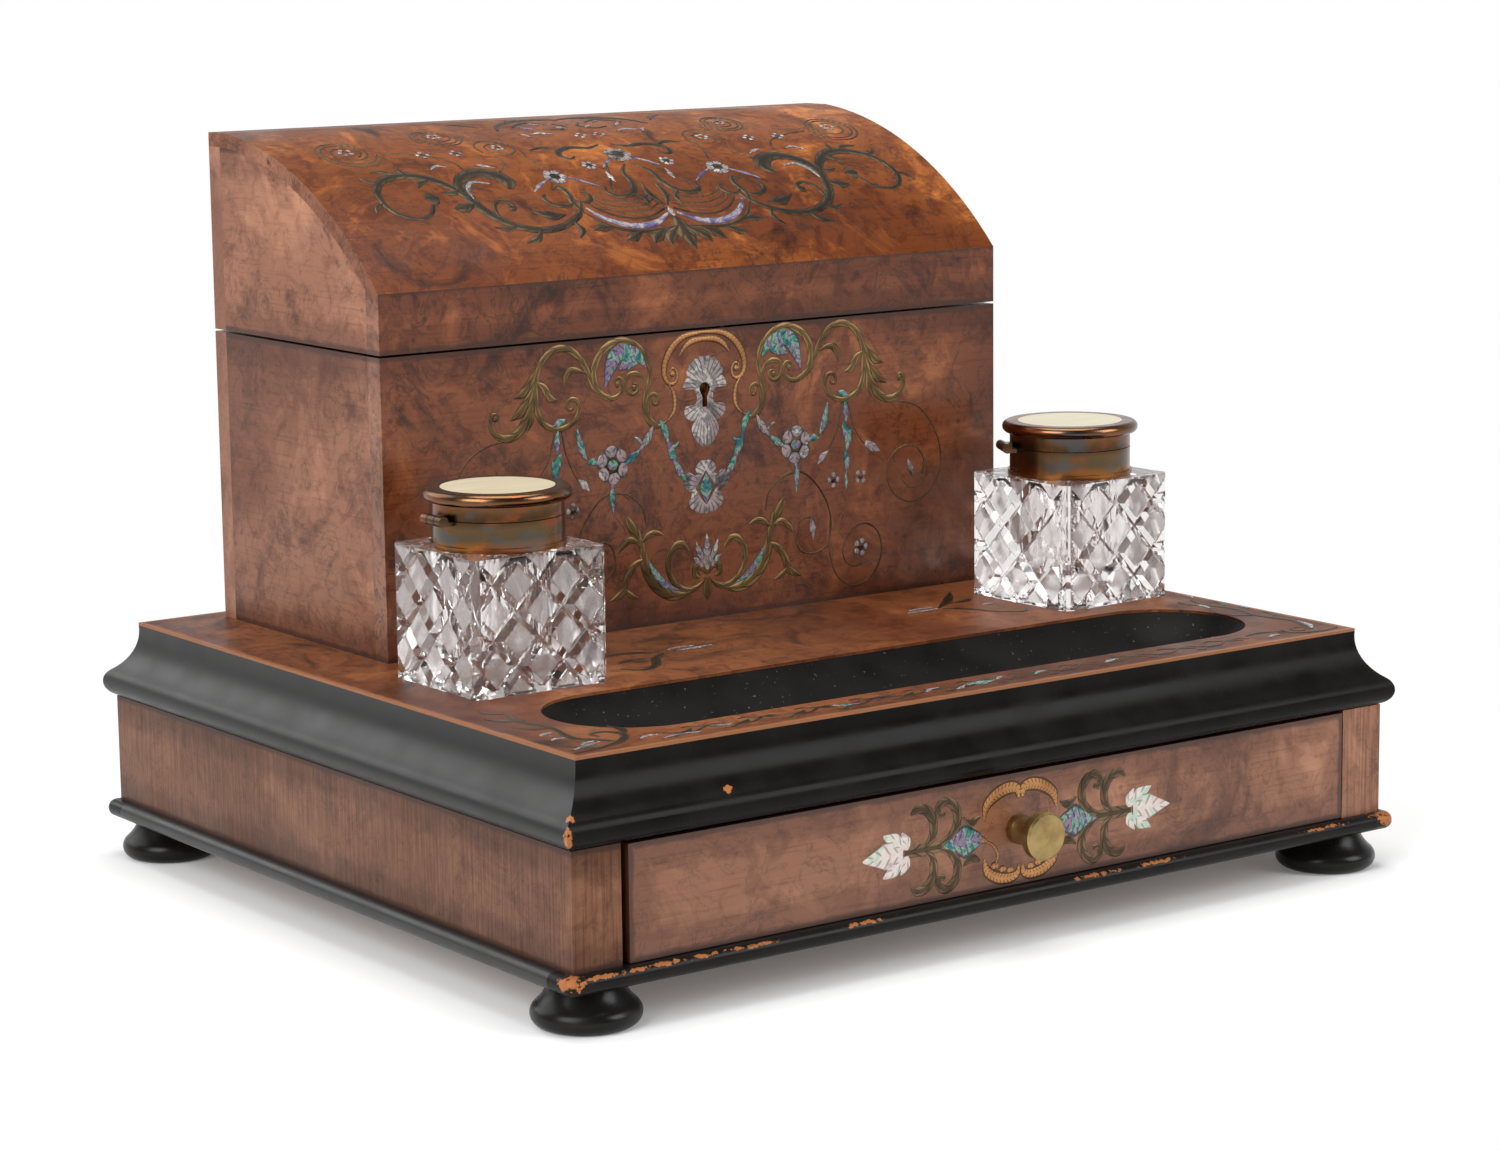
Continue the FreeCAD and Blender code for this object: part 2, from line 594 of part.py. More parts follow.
def drawer():
    left, right = "places.drawer_left", "places.drawer_right"
    inner_left = f"{left} + dims.drawer_side_thick"
    inner_right = f"{right} - dims.drawer_side_thick"
    bottom_high = "places.drawer_bottom_low + dims.drawer_bottom_thick"
    bottom = keep(block(
        "drawer_bottom", (f"{inner_left} - dims.groove_depth", f"{inner_right} + dims.groove_depth"),
        ("places.drawer_inner - dims.groove_depth", "places.drawer_rear"),
        ("places.drawer_bottom_low", bottom_high)), "drawer_bottom")
    blank = block("drawer_front_blank", (left, right), ("places.front_face", "places.drawer_inner"),
                  ("places.drawer_low", "places.drawer_high"))
    hole = rod("knob_hole", "dims.knob_stem_radius", "dims.drawer_front_thick", FreeCAD.Vector(0, 1, 0),
               "places.knob_across", "places.front_face", "places.knob_level")
    keep(cut("drawer_front", blank, [bottom, hole]), "drawer_front")
    keep(block("drawer_back", (inner_left, inner_right),
               ("places.drawer_rear - dims.drawer_side_thick", "places.drawer_rear"),
               (bottom_high, "places.drawer_side_high")), "drawer_back")
    for side, sign in SIDES:
        drawer_side(f"drawer_{side}_side", left if sign < 0 else right, sign)


def drawer_side(name, x, sign):
    """Drawer side with the groove that holds the bottom; sign is the side of the stand that it is on."""
    body = new_body(name)
    sketch = new_sketch(body, "XZ_Plane")
    wall = f"{-sign} * dims.drawer_side_thick"
    root = f"{-sign} * (dims.drawer_side_thick - dims.groove_depth)"
    low, high = "dims.groove_rise", "dims.groove_rise + dims.drawer_bottom_thick"
    top = "places.drawer_side_high - places.drawer_low"
    outline(sketch, (("0", "0"), (wall, "0"), (wall, low), (root, low), (root, high), (wall, high),
                     (wall, top), ("0", top)))
    pad(body, sketch, "places.drawer_rear - places.drawer_inner", reverse=True)
    keep(bind(body, x=x, y="places.drawer_inner", z="places.drawer_low"), name)


def knob():
    """Turned brass knob on a stem through the drawer front, with its nut inside the drawer."""
    body = new_body("drawer_knob")
    sketch = new_sketch(body, "XZ_Plane")
    stem = "dims.drawer_front_thick + dims.nut_thick"
    edge = "dims.knob_out - dims.knob_edge"
    outline(sketch, (
        ("0", f"-({stem})"), ("dims.knob_stem_radius", f"-({stem})"), ("dims.knob_stem_radius", "0"),
        ("dims.knob_collar_radius", "0"),
        ("dims.knob_collar_radius", "dims.knob_collar_height", "dims.knob_neck_sweep", -1),
        ("dims.knob_face_radius", edge), ("dims.knob_face_radius", "dims.knob_out - dims.knob_bevel"),
        ("dims.knob_face_radius - dims.knob_bevel", "dims.knob_out"), ("0", "dims.knob_out")))
    turned(body, sketch)
    body.Placement.Rotation = FreeCAD.Rotation(FreeCAD.Vector(1, 0, 0), 90)
    keep(bind(body, x="places.knob_across", y="places.front_face", z="places.knob_level"), "drawer_knob")

    nut = new_body("knob_nut")
    plan = new_sketch(nut, "XZ_Plane")
    radius = "dims.nut_width / sqrt(3)"
    turns = [NUT_CORNER * corner for corner in range(NUT_CORNERS)]
    outline(plan, [(f"{radius} * cos({turn})", f"{radius} * sin({turn})") for turn in turns])
    circle(plan, "0", "0", "dims.knob_stem_radius")
    pad(nut, plan, "dims.nut_thick", reverse=True)
    keep(bind(nut, x="places.knob_across", y="places.drawer_inner", z="places.knob_level"), "knob_nut")


def keyhole_tool():
    """Round hole with a slot below it, from in front of the box to the bolt channel of the lock."""
    depth = ("places.box_face - dims.box_wall", "places.lock_front + dims.lock_wall + dims.bolt_clearance")
    round_part = rod("keyhole_round", "dims.keyhole_radius", f"({depth[1]}) - ({depth[0]})",
                     FreeCAD.Vector(0, 1, 0), "0", depth[0], "places.keyhole_level")
    slot = block("keyhole_slot", ("-dims.keyhole_slot / 2", "dims.keyhole_slot / 2"), depth,
                 ("places.keyhole_level - dims.keyhole_length", "places.keyhole_level"))
    return joined("keyhole_tool", [round_part, slot])


def escutcheon_blank():
    """Oval pearl plate let into the box front."""
    body = new_body("escutcheon_blank")
    sketch = new_sketch(body, "XZ_Plane")
    half, low = "dims.shell_width / 2", "-dims.shell_height"
    shoulder, waist = f"-({half})", f"{low} + {half}"
    outline(sketch, ((half, waist), (half, shoulder, half, 1), ("0", "0", half, 1),
                     (f"-({half})", shoulder), (f"-({half})", waist, half, 1), ("0", low, half, 1)))
    pad(body, sketch, "dims.shell_thick", reverse=True)
    return bind(body, y="places.box_face", z="places.shell_high")


def lock(keyhole):
    """Lock case with its bolt channel and staple slot, the sliding bolt, and the link plate under the lid."""
    half = "dims.lock_width / 2"
    across, depth = (f"-({half})", half), ("places.lock_front", "places.box_face + dims.box_wall")
    case = block("lock_case_blank", across, depth,
                 ("places.seam_level - dims.lock_height", "places.seam_level"))
    clear = "dims.bolt_clearance"
    bolt_front = "places.lock_front + dims.lock_wall + dims.bolt_clearance"
    bolt_y = (bolt_front, f"{bolt_front} + dims.bolt_thick")
    bolt_z = ("places.bolt_low", "places.bolt_low + dims.bolt_height")
    bolt_x = ("dims.bolt_end - dims.bolt_length", "dims.bolt_end")
    channel = block("bolt_channel", (f"{bolt_x[0]} - {clear}", f"{bolt_x[1]} + dims.bolt_travel + {clear}"),
                    (f"{bolt_y[0]} - {clear}", f"{bolt_y[1]} + {clear}"),
                    (f"{bolt_z[0]} - {clear}", f"{bolt_z[1]} + {clear}"))
    staple_y = ("places.staple_front", "places.staple_front + dims.staple_thick")
    room = "dims.staple_room"
    slot = block("staple_slot", (f"places.staple_left - {clear}", f"places.staple_right + {clear}"),
                 (f"{staple_y[0]} - {room}", f"{staple_y[1]} + {clear}"),
                 (f"places.staple_low - {room}", "places.seam_level"))
    keep(cut("lock_case", case, [channel, slot, keyhole]), "lock_case")
    bar = block("bolt_bar", bolt_x, bolt_y, bolt_z)
    talon = block("bolt_talon", ("-dims.keyhole_radius", "dims.keyhole_radius"), bolt_y,
                  (bolt_z[0], f"{bolt_z[0]} + dims.bolt_height / 3"))
    keep(cut("lock_bolt", bar, [talon]), "lock_bolt")
    plate_z = ("places.lid_low", "places.lid_low + dims.leaf_thick")
    plate = block("link_plate", across, depth, plate_z)
    post = block("staple_post", ("places.staple_right - dims.staple_post", "places.staple_right"), staple_y,
                 ("places.staple_low", plate_z[1]))
    tooth = block("staple_tooth", ("places.staple_left", "places.staple_right"), staple_y,
                  ("places.staple_low", "places.staple_low + dims.staple_tooth"))
    link = keep(joined("lock_link_plate", [plate, post, tooth]), "lock_link_plate")
    return case, link


def hinge_screws(name, axis, start):
    """Countersunk screws of both hinges, one set per leaf; axis points from the head to the tip."""
    made = []
    way = int(axis.z)
    for side, sign in SIDES:
        for step in (-1, 0, 1):
            x = f"{sign} * places.hinge_across + {step} * dims.screw_pitch"
            y = "places.box_rear - dims.leaf_width / 2"
            tag = f"{name}_{side}_{step + 1}"
            head = doc.addObject("Part::Cone", tag + "_head")
            head.Placement.Rotation = FreeCAD.Rotation(UP, axis)
            bind(head, Radius1="dims.screw_head_radius", Radius2="dims.screw_radius",
                 Height="dims.screw_head_height", x=x, y=y, z=start)
            length = "dims.screw_length - dims.screw_head_height"
            shank = rod(tag + "_shank", "dims.screw_radius", length, axis,
                        x, y, f"{start} + {way} * dims.screw_head_height")
            made.append(joined(tag, [head, shank]))
    group = doc.addObject("Part::Compound", name)
    group.Links = made
    return keep(group, name)


def hinge_leaf(name, sign, z, spans, bore, screws):
    """Leaf let into the edge of a board, with knuckles over some spans of its length."""
    start = f"{sign} * places.hinge_across - dims.hinge_length / 2"
    pieces = [block(name + "_plate", (start, f"{start} + dims.hinge_length"),
                    ("places.box_rear - dims.leaf_width", "places.box_rear"), z)]
    for number, (low, high) in enumerate(spans):
        span = (f"{start} + {low}", f"{start} + {high}")
        pieces.append(block(f"{name}_neck_{number}", span, ("places.box_rear", "places.hinge_rear"), z))
        pieces.append(rod(f"{name}_knuckle_{number}", "dims.barrel_radius", f"({high}) - ({low})",
                          FreeCAD.Vector(1, 0, 0), span[0], "places.hinge_rear", "places.hinge_level"))
    hole = rod(name + "_bore", bore, "dims.hinge_length", FreeCAD.Vector(1, 0, 0),
               start, "places.hinge_rear", "places.hinge_level")
    return keep(cut(name, joined(name + "_blank", pieces), [hole, screws]), name)


def lid_hinges():
    """Two butt hinges. The box leaf has the outer knuckles and the pin; the lid leaf has the middle one."""
    box_screws = hinge_screws("hinge_box_screws", FreeCAD.Vector(0, 0, -1), "places.seam_level")
    lid_screws = hinge_screws("hinge_lid_screws", FreeCAD.Vector(0, 0, 1), "places.lid_low")
    third, gap = "dims.hinge_length / 3", "dims.knuckle_gap / 2"
    outer = (("0 * dims.hinge_length", f"{third} - {gap}"), (f"2 * {third} + {gap}", "dims.hinge_length"))
    inner = ((f"{third} + {gap}", f"2 * {third} - {gap}"),)
    box_tools, lid_tools = [box_screws], [lid_screws]
    for side, sign in SIDES:
        box_tools.append(hinge_leaf(f"hinge_{side}_box_leaf", sign,
                                    ("places.seam_level - dims.leaf_thick", "places.seam_level"),
                                    outer, "dims.hinge_pin_radius", box_screws))
        lid_tools.append(hinge_leaf(f"hinge_{side}_lid_leaf", sign,
                                    ("places.lid_low", "places.lid_low + dims.leaf_thick"),
                                    inner, "dims.hinge_pin_radius + dims.pin_clearance", lid_screws))
        keep(rod(f"hinge_{side}_pin", "dims.hinge_pin_radius", "dims.hinge_length", FreeCAD.Vector(1, 0, 0),
                 f"{sign} * places.hinge_across - dims.hinge_length / 2", "places.hinge_rear",
                 "places.hinge_level"), f"hinge_{side}_pin")
    return box_tools, lid_tools


def stationery_box(keyhole, lock_blank, hinge_tools):
    """Box body: front and back run the full width, sides and floor fit between, two dividers stand inside."""
    width = ("-places.box_half", "places.box_half")
    inside = ("-places.box_inside", "places.box_inside")
    height = ("places.top_face", "places.seam_level")
    depth = ("places.box_face + dims.box_wall", "places.box_rear - dims.box_wall")
    shell = escutcheon_blank()
    keep(cut("keyhole_escutcheon", shell, [keyhole]), "keyhole_escutcheon")
    front = block("box_front_blank", width, ("places.box_face", depth[0]), height)
    keep(cut("box_front", front, [lock_blank, shell, keyhole]), "box_front")
    back = block("box_back_blank", width, (depth[1], "places.box_rear"), height)
    keep(cut("box_back", back, hinge_tools), "box_back")
    keep(block("box_left_side", ("-places.box_half", "-places.box_inside"), depth, height), "box_left_side")
    keep(block("box_right_side", ("places.box_inside", "places.box_half"), depth, height), "box_right_side")
    keep(block("box_floor", inside, depth, ("places.top_face", "places.box_floor_high")), "box_floor")
    first = f"{depth[0]} + dims.front_slot"
    second = f"{first} + dims.divider_thick + dims.middle_slot"
    for name, start in (("front", first), ("back", second)):
        rise = ("places.box_floor_high", f"places.seam_level - dims.divider_{name}_drop")
        span = (start, f"{start} + dims.divider_thick")
        keep(block(f"divider_{name}", inside, span, rise), f"divider_{name}")


def dome_points():
    """Arris, end of the dome and centre of its arc, seen from the left end of the lid."""
    arris = FreeCAD.Vector(0, value("dims.lid_rail_height"), 0)
    end = FreeCAD.Vector(value("dims.box_depth - dims.lid_flat"), value("dims.lid_height"), 0)
    return arris, end, arc_centre(end, arris, value("dims.dome_radius"))


def dome_arcs(sketch, construction, inner_from, inner_to):
    """Outer arc of the dome, from its end to the arris, and the inner arc about the same centre."""
    arris, end, centre = dome_points()
    outer = sketch.addGeometry(arc_between(centre, end, arris), construction)
    pin(sketch, outer, 1, "dims.box_depth - dims.lid_flat", "dims.lid_height")
    pin(sketch, outer, 2, "0", "dims.lid_rail_height")
    tie_radius(sketch, outer, "dims.dome_radius")
    inner = sketch.addGeometry(arc_between(centre, inner_from, inner_to))
    match(sketch, outer, 3, inner, 3)
    tie_radius(sketch, inner, "dims.dome_radius - dims.dome_thick")
    return outer, inner


def inner_spot(across=None, up=None):
    """Point of the inner arc at a distance behind the lid's face, at a height, or below the arris."""
    arris, _, centre = dome_points()
    radius = value("dims.dome_radius - dims.dome_thick")
    if across is not None:
        return FreeCAD.Vector(across, centre.y + math.sqrt(radius ** 2 - (across - centre.x) ** 2), 0)
    if up is not None:
        return FreeCAD.Vector(centre.x + math.sqrt(max(radius ** 2 - (up - centre.y) ** 2, 0)), up, 0)
    return centre.add(arris.sub(centre).normalize().multiply(radius))


def lines_through(sketch, points):
    """Open run of straight lines; returns their indices."""
    made = [sketch.addGeometry(Part.LineSegment(a, b)) for a, b in zip(points, points[1:])]
    for first, second in zip(made, made[1:]):
        match(sketch, first, 2, second, 1)
    return made


def spot(across, up):
    return FreeCAD.Vector(value(across), value(up), 0)


def lid_dome():
    """Bent panel over the whole lid: two arcs about one centre and a level strip along the back."""
    body = new_body("lid_dome")
    sketch = new_sketch(body, "YZ_Plane")
    arris, end, centre = dome_points()
    under = "dims.lid_height - dims.dome_thick"
    inner_end = FreeCAD.Vector(end.x, value(under), 0)
    below = inner_spot()
    outer, inner = dome_arcs(sketch, False, inner_end, below)
    back_high, back_low = spot("dims.box_depth", "dims.lid_height"), spot("dims.box_depth", under)
    level, rear, soffit = lines_through(sketch, (end, back_high, back_low, inner_end))
    radial = sketch.addGeometry(Part.LineSegment(below, arris))
    match(sketch, level, 1, outer, 1)
    match(sketch, soffit, 2, inner, 1)
    match(sketch, inner, 2, radial, 1)
    match(sketch, radial, 2, outer, 2)
    pin(sketch, level, 2, "dims.box_depth", "dims.lid_height")
    pin(sketch, rear, 2, "dims.box_depth", under)
    sketch.addConstraint(Sketcher.Constraint("Horizontal", soffit))
    sketch.addConstraint(Sketcher.Constraint("PointOnObject", outer, 3, radial))
    pad(body, sketch, "dims.box_width")
    keep(bind(body, x="-places.box_half", y="places.box_face", z="places.lid_low"), "lid_dome")


def lid_cheek(name, x):
    """End of the lid, shaped to the inside of the dome."""
    body = new_body(name)
    sketch = new_sketch(body, "YZ_Plane")
    under = "dims.lid_height - dims.dome_thick"
    rear = "dims.box_depth - dims.lid_wall"
    _, end, _ = dome_points()
    inner_end = FreeCAD.Vector(end.x, value(under), 0)
    shoulder = inner_spot(across=value("dims.lid_wall"))
    _, inner = dome_arcs(sketch, True, inner_end, shoulder)
    front, low, back, soffit = lines_through(
        sketch, (shoulder, spot("dims.lid_wall", "0"), spot(rear, "0"), spot(rear, under), inner_end))
    match(sketch, soffit, 2, inner, 1)
    match(sketch, inner, 2, front, 1)
    pin(sketch, front, 2, "dims.lid_wall", "0")
    pin(sketch, low, 2, rear, "0")
    pin(sketch, back, 2, rear, under)
    sketch.addConstraint(Sketcher.Constraint("Vertical", front))
    sketch.addConstraint(Sketcher.Constraint("Horizontal", soffit))
    pad(body, sketch, "dims.lid_wall")
    keep(bind(body, x=x, y="places.box_face", z="places.lid_low"), name)


def lid_front_rail(link):
    """Upright rail under the front of the dome; its top is cut to the dome's inner arc and radial end."""
    body = new_body("lid_front_rail_blank")
    sketch = new_sketch(body, "YZ_Plane")
    arris = dome_points()[0]
    shoulder = inner_spot(across=value("dims.lid_wall"))
    below = inner_spot()
    outer, inner = dome_arcs(sketch, True, shoulder, below)
    radial, front, low, back = lines_through(
        sketch, (below, arris, spot("0", "0"), spot("dims.lid_wall", "0"), shoulder))
    match(sketch, back, 2, inner, 1)
    match(sketch, inner, 2, radial, 1)
    match(sketch, radial, 2, outer, 2)
    pin(sketch, front, 2, "0", "0")
    pin(sketch, low, 2, "dims.lid_wall", "0")
    sketch.addConstraint(Sketcher.Constraint("Vertical", back))
    sketch.addConstraint(Sketcher.Constraint("PointOnObject", outer, 3, radial))
    pad(body, sketch, "dims.box_width")
    bind(body, x="-places.box_half", y="places.box_face", z="places.lid_low")
    keep(cut("lid_front_rail", body, [link]), "lid_front_rail")


def lid(link, hinge_tools):
    lid_dome()
    lid_front_rail(link)
    lid_cheek("lid_left_cheek", "-places.box_half")
    lid_cheek("lid_right_cheek", "places.box_half - dims.lid_wall")
    back = block("lid_back_blank", ("-places.box_half", "places.box_half"),
                 ("places.box_rear - dims.lid_wall", "places.box_rear"),
                 ("places.lid_low", "places.lid_low + dims.lid_height - dims.dome_thick"))
    keep(cut("lid_back", back, hinge_tools), "lid_back")


def bottle(name):
    """Square glass with cut corners, a round neck and a round ink bore."""
    body = new_body(name)
    plan = new_sketch(body, "XY_Plane")
    half, flat = "dims.bottle_size / 2", "(dims.bottle_size / 2 - dims.bottle_bevel)"
    outline(plan, ((half, f"-{flat}"), (half, flat), (flat, half), (f"-{flat}", half),
                   (f"-({half})", flat), (f"-({half})", f"-{flat}"), (f"-{flat}", f"-({half})"),
                   (flat, f"-({half})")))
    pad(body, plan, "dims.bottle_height")
    neck = new_sketch(body, "XY_Plane", "dims.bottle_height")
    circle(neck, "0", "0", "dims.neck_radius")
    pad(body, neck, "dims.neck_height")
    bore = new_sketch(body, "XY_Plane", "dims.bottle_height + dims.neck_height")
    circle(bore, "0", "0", "dims.bore_radius")
    pocket(body, bore, "dims.bottle_height + dims.neck_height - dims.bottle_floor")
    return body


def cap_knuckles(name, spans, root_z):
    """Ears and knuckles of the cap hinge, at the left of the well; spans run along the hinge."""
    pieces = []
    along = FreeCAD.Vector(0, 1, 0)
    root_x = ("-dims.cap_hinge_reach", "-dims.ear_root")
    for number, (low, high) in enumerate(spans):
        pieces.append(block(f"{name}_ear_{number}", root_x, (low, high), root_z))
        pieces.append(rod(f"{name}_barrel_{number}", "dims.cap_barrel_radius", f"({high}) - ({low})", along,
                          "-dims.cap_hinge_reach", low, "places.cap_hinge_level"))
    return pieces


def cap_bore_tool(name, radius):
    return rod(name + "_pin_bore", radius, "dims.cap_hinge_width", FreeCAD.Vector(0, 1, 0),
               "-dims.cap_hinge_reach", "-dims.cap_hinge_width / 2", "places.cap_hinge_level")


def collar(name):
    """Brass collar cemented on the neck, with the two outer knuckles of the cap hinge."""
    ring = new_body(name + "_ring")
    sketch = new_sketch(ring, "XZ_Plane")
    outline(sketch, (
        ("dims.neck_radius", "0"), ("dims.flange_radius", "0"), ("dims.flange_radius", "dims.flange_height"),
        ("dims.collar_radius", "dims.flange_height"), ("dims.collar_radius", "dims.collar_height"),
        ("dims.neck_radius", "dims.collar_height")))
    turned(ring, sketch)
    bind(ring, z="dims.bottle_height")
    inner, outer = "dims.cap_knuckle / 2 + dims.knuckle_gap / 2", "dims.cap_hinge_width / 2"
    spans = ((f"-({outer})", f"-({inner})"), (inner, outer))
    root = ("places.collar_high - dims.ear_thick", "places.collar_high")
    whole = joined(name + "_blank", [ring] + cap_knuckles(name, spans, root))
    return cut(name, whole, [cap_bore_tool(name, "dims.cap_pin_radius")])


def cap(name):
    """Hollow brass cap: skirt, rolled rim, a seat for the disc and the middle knuckle."""
    shell = new_body(name + "_shell")
    sketch = new_sketch(shell, "XZ_Plane")
    roll = "dims.rim_height / 2"
    rolled = f"dims.rim_radius - {roll}"
    seat = "places.cap_high - dims.disc_thick"
    roof = f"{seat} - dims.cap_roof"
    disc = "dims.disc_radius + dims.disc_clearance"
    outline(sketch, (
        ("dims.cap_bore", "0"), ("dims.collar_radius", "0"), ("dims.collar_radius", "dims.cap_skirt"),
        (rolled, "dims.cap_skirt", roll, 1), ("dims.rim_radius", f"dims.cap_skirt + {roll}", roll, 1),
        (rolled, "places.cap_high"), (disc, "places.cap_high"), (disc, seat), ("0", seat), ("0", roof),
        ("dims.cap_bore", roof)))
    turned(shell, sketch)
    bind(shell, z="places.cap_low")
    half = "dims.cap_knuckle / 2 - dims.knuckle_gap / 2"
    root = ("places.cap_low", "places.cap_low + dims.ear_thick")
    whole = joined(name + "_blank", [shell] + cap_knuckles(name, ((f"-({half})", half),), root))
    return cut(name, whole, [cap_bore_tool(name, "dims.cap_pin_radius + dims.pin_clearance")])


def inkwell(side, x, turn, hinge_turn):
    """One inkwell, standing loose on the platform."""
    name = f"inkwell_{side}"
    disc = rod(f"{side}_disc", "dims.disc_radius", "dims.disc_thick", UP,
               "0", "0", "places.cap_low + places.cap_high - dims.disc_thick")
    pin_rod = rod(f"{side}_cap_pin", "dims.cap_pin_radius", "dims.cap_hinge_width", FreeCAD.Vector(0, 1, 0),
                  "-dims.cap_hinge_reach", "-dims.cap_hinge_width / 2", "places.cap_hinge_level")
    pieces = (("bottle", bottle(f"{side}_bottle"), turn), ("collar", collar(f"{side}_collar"), hinge_turn),
              ("cap", cap(f"{side}_cap"), hinge_turn), ("cap_disc", disc, hinge_turn),
              ("hinge_pin", pin_rod, hinge_turn))
    for part, item, angle in pieces:
        seated = doc.addObject("Part::Compound", f"{name}_{part}")
        seated.Links = [item]
        sheet_turn(seated, angle)
        bind(seated, x=x, y="places.front_face + places.well_middle", z="places.top_face")
        keep(seated, f"{name}_{part}")


def build():
    bottom_board(feet())
    base_mouldings()
    carcase()
    cornice()
    platform()
    pen_tray()
    drawer()
    knob()
    keyhole = keyhole_tool()
    lock_blank, link = lock(keyhole)
    box_tools, lid_tools = lid_hinges()
    stationery_box(keyhole, lock_blank, box_tools)
    lid(link, lid_tools)
    inkwell("left", "-places.half_width + dims.left_well_inset", "0", "0")
    inkwell("right", "places.half_width - dims.right_well_inset", "dims.right_well_turn",
            "dims.right_well_turn + dims.right_hinge_turn")
    doc.recompute()


def check():
    """Stop if any feature failed or any piece is empty or not valid."""
    failed = [item.Name for item in doc.Objects if "Invalid" in item.State or "Error" in item.State]
    if failed:
        raise RuntimeError("features failed: " + ", ".join(failed))
    for item in nodes:
        if item.Shape.isNull() or not item.Shape.Solids or not item.Shape.isValid():
            raise RuntimeError("piece is empty or not valid: " + item.Label)


def export():
    os.makedirs("parts", exist_ok=True)
    for item in nodes:
        item.Shape.exportStep(os.path.join("parts", item.Label + ".step"))


build()
check()
export()
print(len(nodes), "pieces written")
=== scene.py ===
# %% [markdown]
# # A walnut desk stand with two cut-glass inkwells
# The stand carries a domed stationery box, a pen tray, a drawer and two square glass wells.
# The solids come packed and named, so this lesson gives them their finishes and adds what only shows close up:
# the cut glass, the brass and shell inlay, the engraving and the wear.

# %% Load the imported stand
import json
import math
import bpy
import numpy as np
from mathutils import Matrix, Vector


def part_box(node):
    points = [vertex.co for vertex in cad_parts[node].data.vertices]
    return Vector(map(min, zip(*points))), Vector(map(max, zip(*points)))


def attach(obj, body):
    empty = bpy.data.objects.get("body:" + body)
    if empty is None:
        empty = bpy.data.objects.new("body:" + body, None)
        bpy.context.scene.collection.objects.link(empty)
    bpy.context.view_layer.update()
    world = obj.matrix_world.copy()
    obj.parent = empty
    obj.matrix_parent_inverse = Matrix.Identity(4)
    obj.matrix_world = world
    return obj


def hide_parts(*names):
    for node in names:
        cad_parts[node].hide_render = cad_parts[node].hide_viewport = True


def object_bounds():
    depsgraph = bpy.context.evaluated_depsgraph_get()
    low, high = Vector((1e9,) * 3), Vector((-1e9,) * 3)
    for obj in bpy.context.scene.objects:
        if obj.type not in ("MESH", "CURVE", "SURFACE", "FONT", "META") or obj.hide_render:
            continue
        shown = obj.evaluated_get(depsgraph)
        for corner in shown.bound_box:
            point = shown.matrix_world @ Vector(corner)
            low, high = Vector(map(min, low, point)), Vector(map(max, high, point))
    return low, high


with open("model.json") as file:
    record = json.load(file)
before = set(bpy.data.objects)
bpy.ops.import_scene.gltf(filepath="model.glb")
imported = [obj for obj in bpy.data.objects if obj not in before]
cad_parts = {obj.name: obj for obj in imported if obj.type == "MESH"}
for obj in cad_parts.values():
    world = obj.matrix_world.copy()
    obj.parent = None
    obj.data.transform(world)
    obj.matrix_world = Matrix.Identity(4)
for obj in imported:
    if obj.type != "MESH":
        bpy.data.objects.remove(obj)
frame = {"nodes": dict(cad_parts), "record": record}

cad_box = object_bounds()
nodes = frame["nodes"]
slot_of = {part["node"]: part["material_slot"] for part in frame["record"]["subparts"]}

# %% [markdown]
# ## The camera
# The photographer stood to the left of the front, a little above the lid, with a long lens.
# The angles and the place were worked out from the corners of the base, the box and the lid,
# so straight edges of the model fall on the edges in the picture without any shift of the lens.

# %% Camera
MM = 0.001
PHOTO_WIDTH = 1500
FOCAL_PIXELS = 3805.1
SENSOR_WIDTH = 36.0
CAMERA_PLACE = Vector((-776.0, -1073.0, 335.55)) * MM
CAMERA_TURN = math.radians(35.934)
CAMERA_DIP = math.radians(9.909)
CAMERA_ROLL = math.radians(-0.686)


def camera_axes(turn, dip, roll):
    """Right, up and back directions: look along the turned and dipped line, then roll about it."""
    ahead = Vector((math.sin(turn) * math.cos(dip), math.cos(turn) * math.cos(dip), -math.sin(dip)))
    level = Vector((math.cos(turn), -math.sin(turn), 0.0))
    over = level.cross(ahead)
    right = level * math.cos(roll) + over * math.sin(roll)
    up = over * math.cos(roll) - level * math.sin(roll)
    return right, up, -ahead


def new_object(name, data):
    """Puts a mesh, lamp or camera into the scene as an object."""
    thing = bpy.data.objects.new(name, data)
    bpy.context.scene.collection.objects.link(thing)
    return thing


lens = bpy.data.cameras.new("photo_camera")
lens.sensor_fit = "HORIZONTAL"
lens.sensor_width = SENSOR_WIDTH
lens.lens = FOCAL_PIXELS / PHOTO_WIDTH * SENSOR_WIDTH
lens.clip_start = 0.05
lens.clip_end = 200.0
camera = new_object("photo_camera", lens)
turned = Matrix(camera_axes(CAMERA_TURN, CAMERA_DIP, CAMERA_ROLL)).transposed()
camera.matrix_world = Matrix.Translation(CAMERA_PLACE) @ turned.to_4x4()
bpy.context.scene.camera = camera
bpy.context.scene.view_settings.view_transform = "Standard"
print("lens", round(lens.lens, 1), "mm")

# %% [markdown]
# ## Small tools for finishes
# Every finish here is a little network of shader nodes, and a network is easier to read when it is written as sums.
# So each output of a node is wrapped as a flow: a plus, minus, times or divide sign adds the Math node that does it.
# The other helpers add a node, mix two colours, turn a value into shades and make cloudy noise.

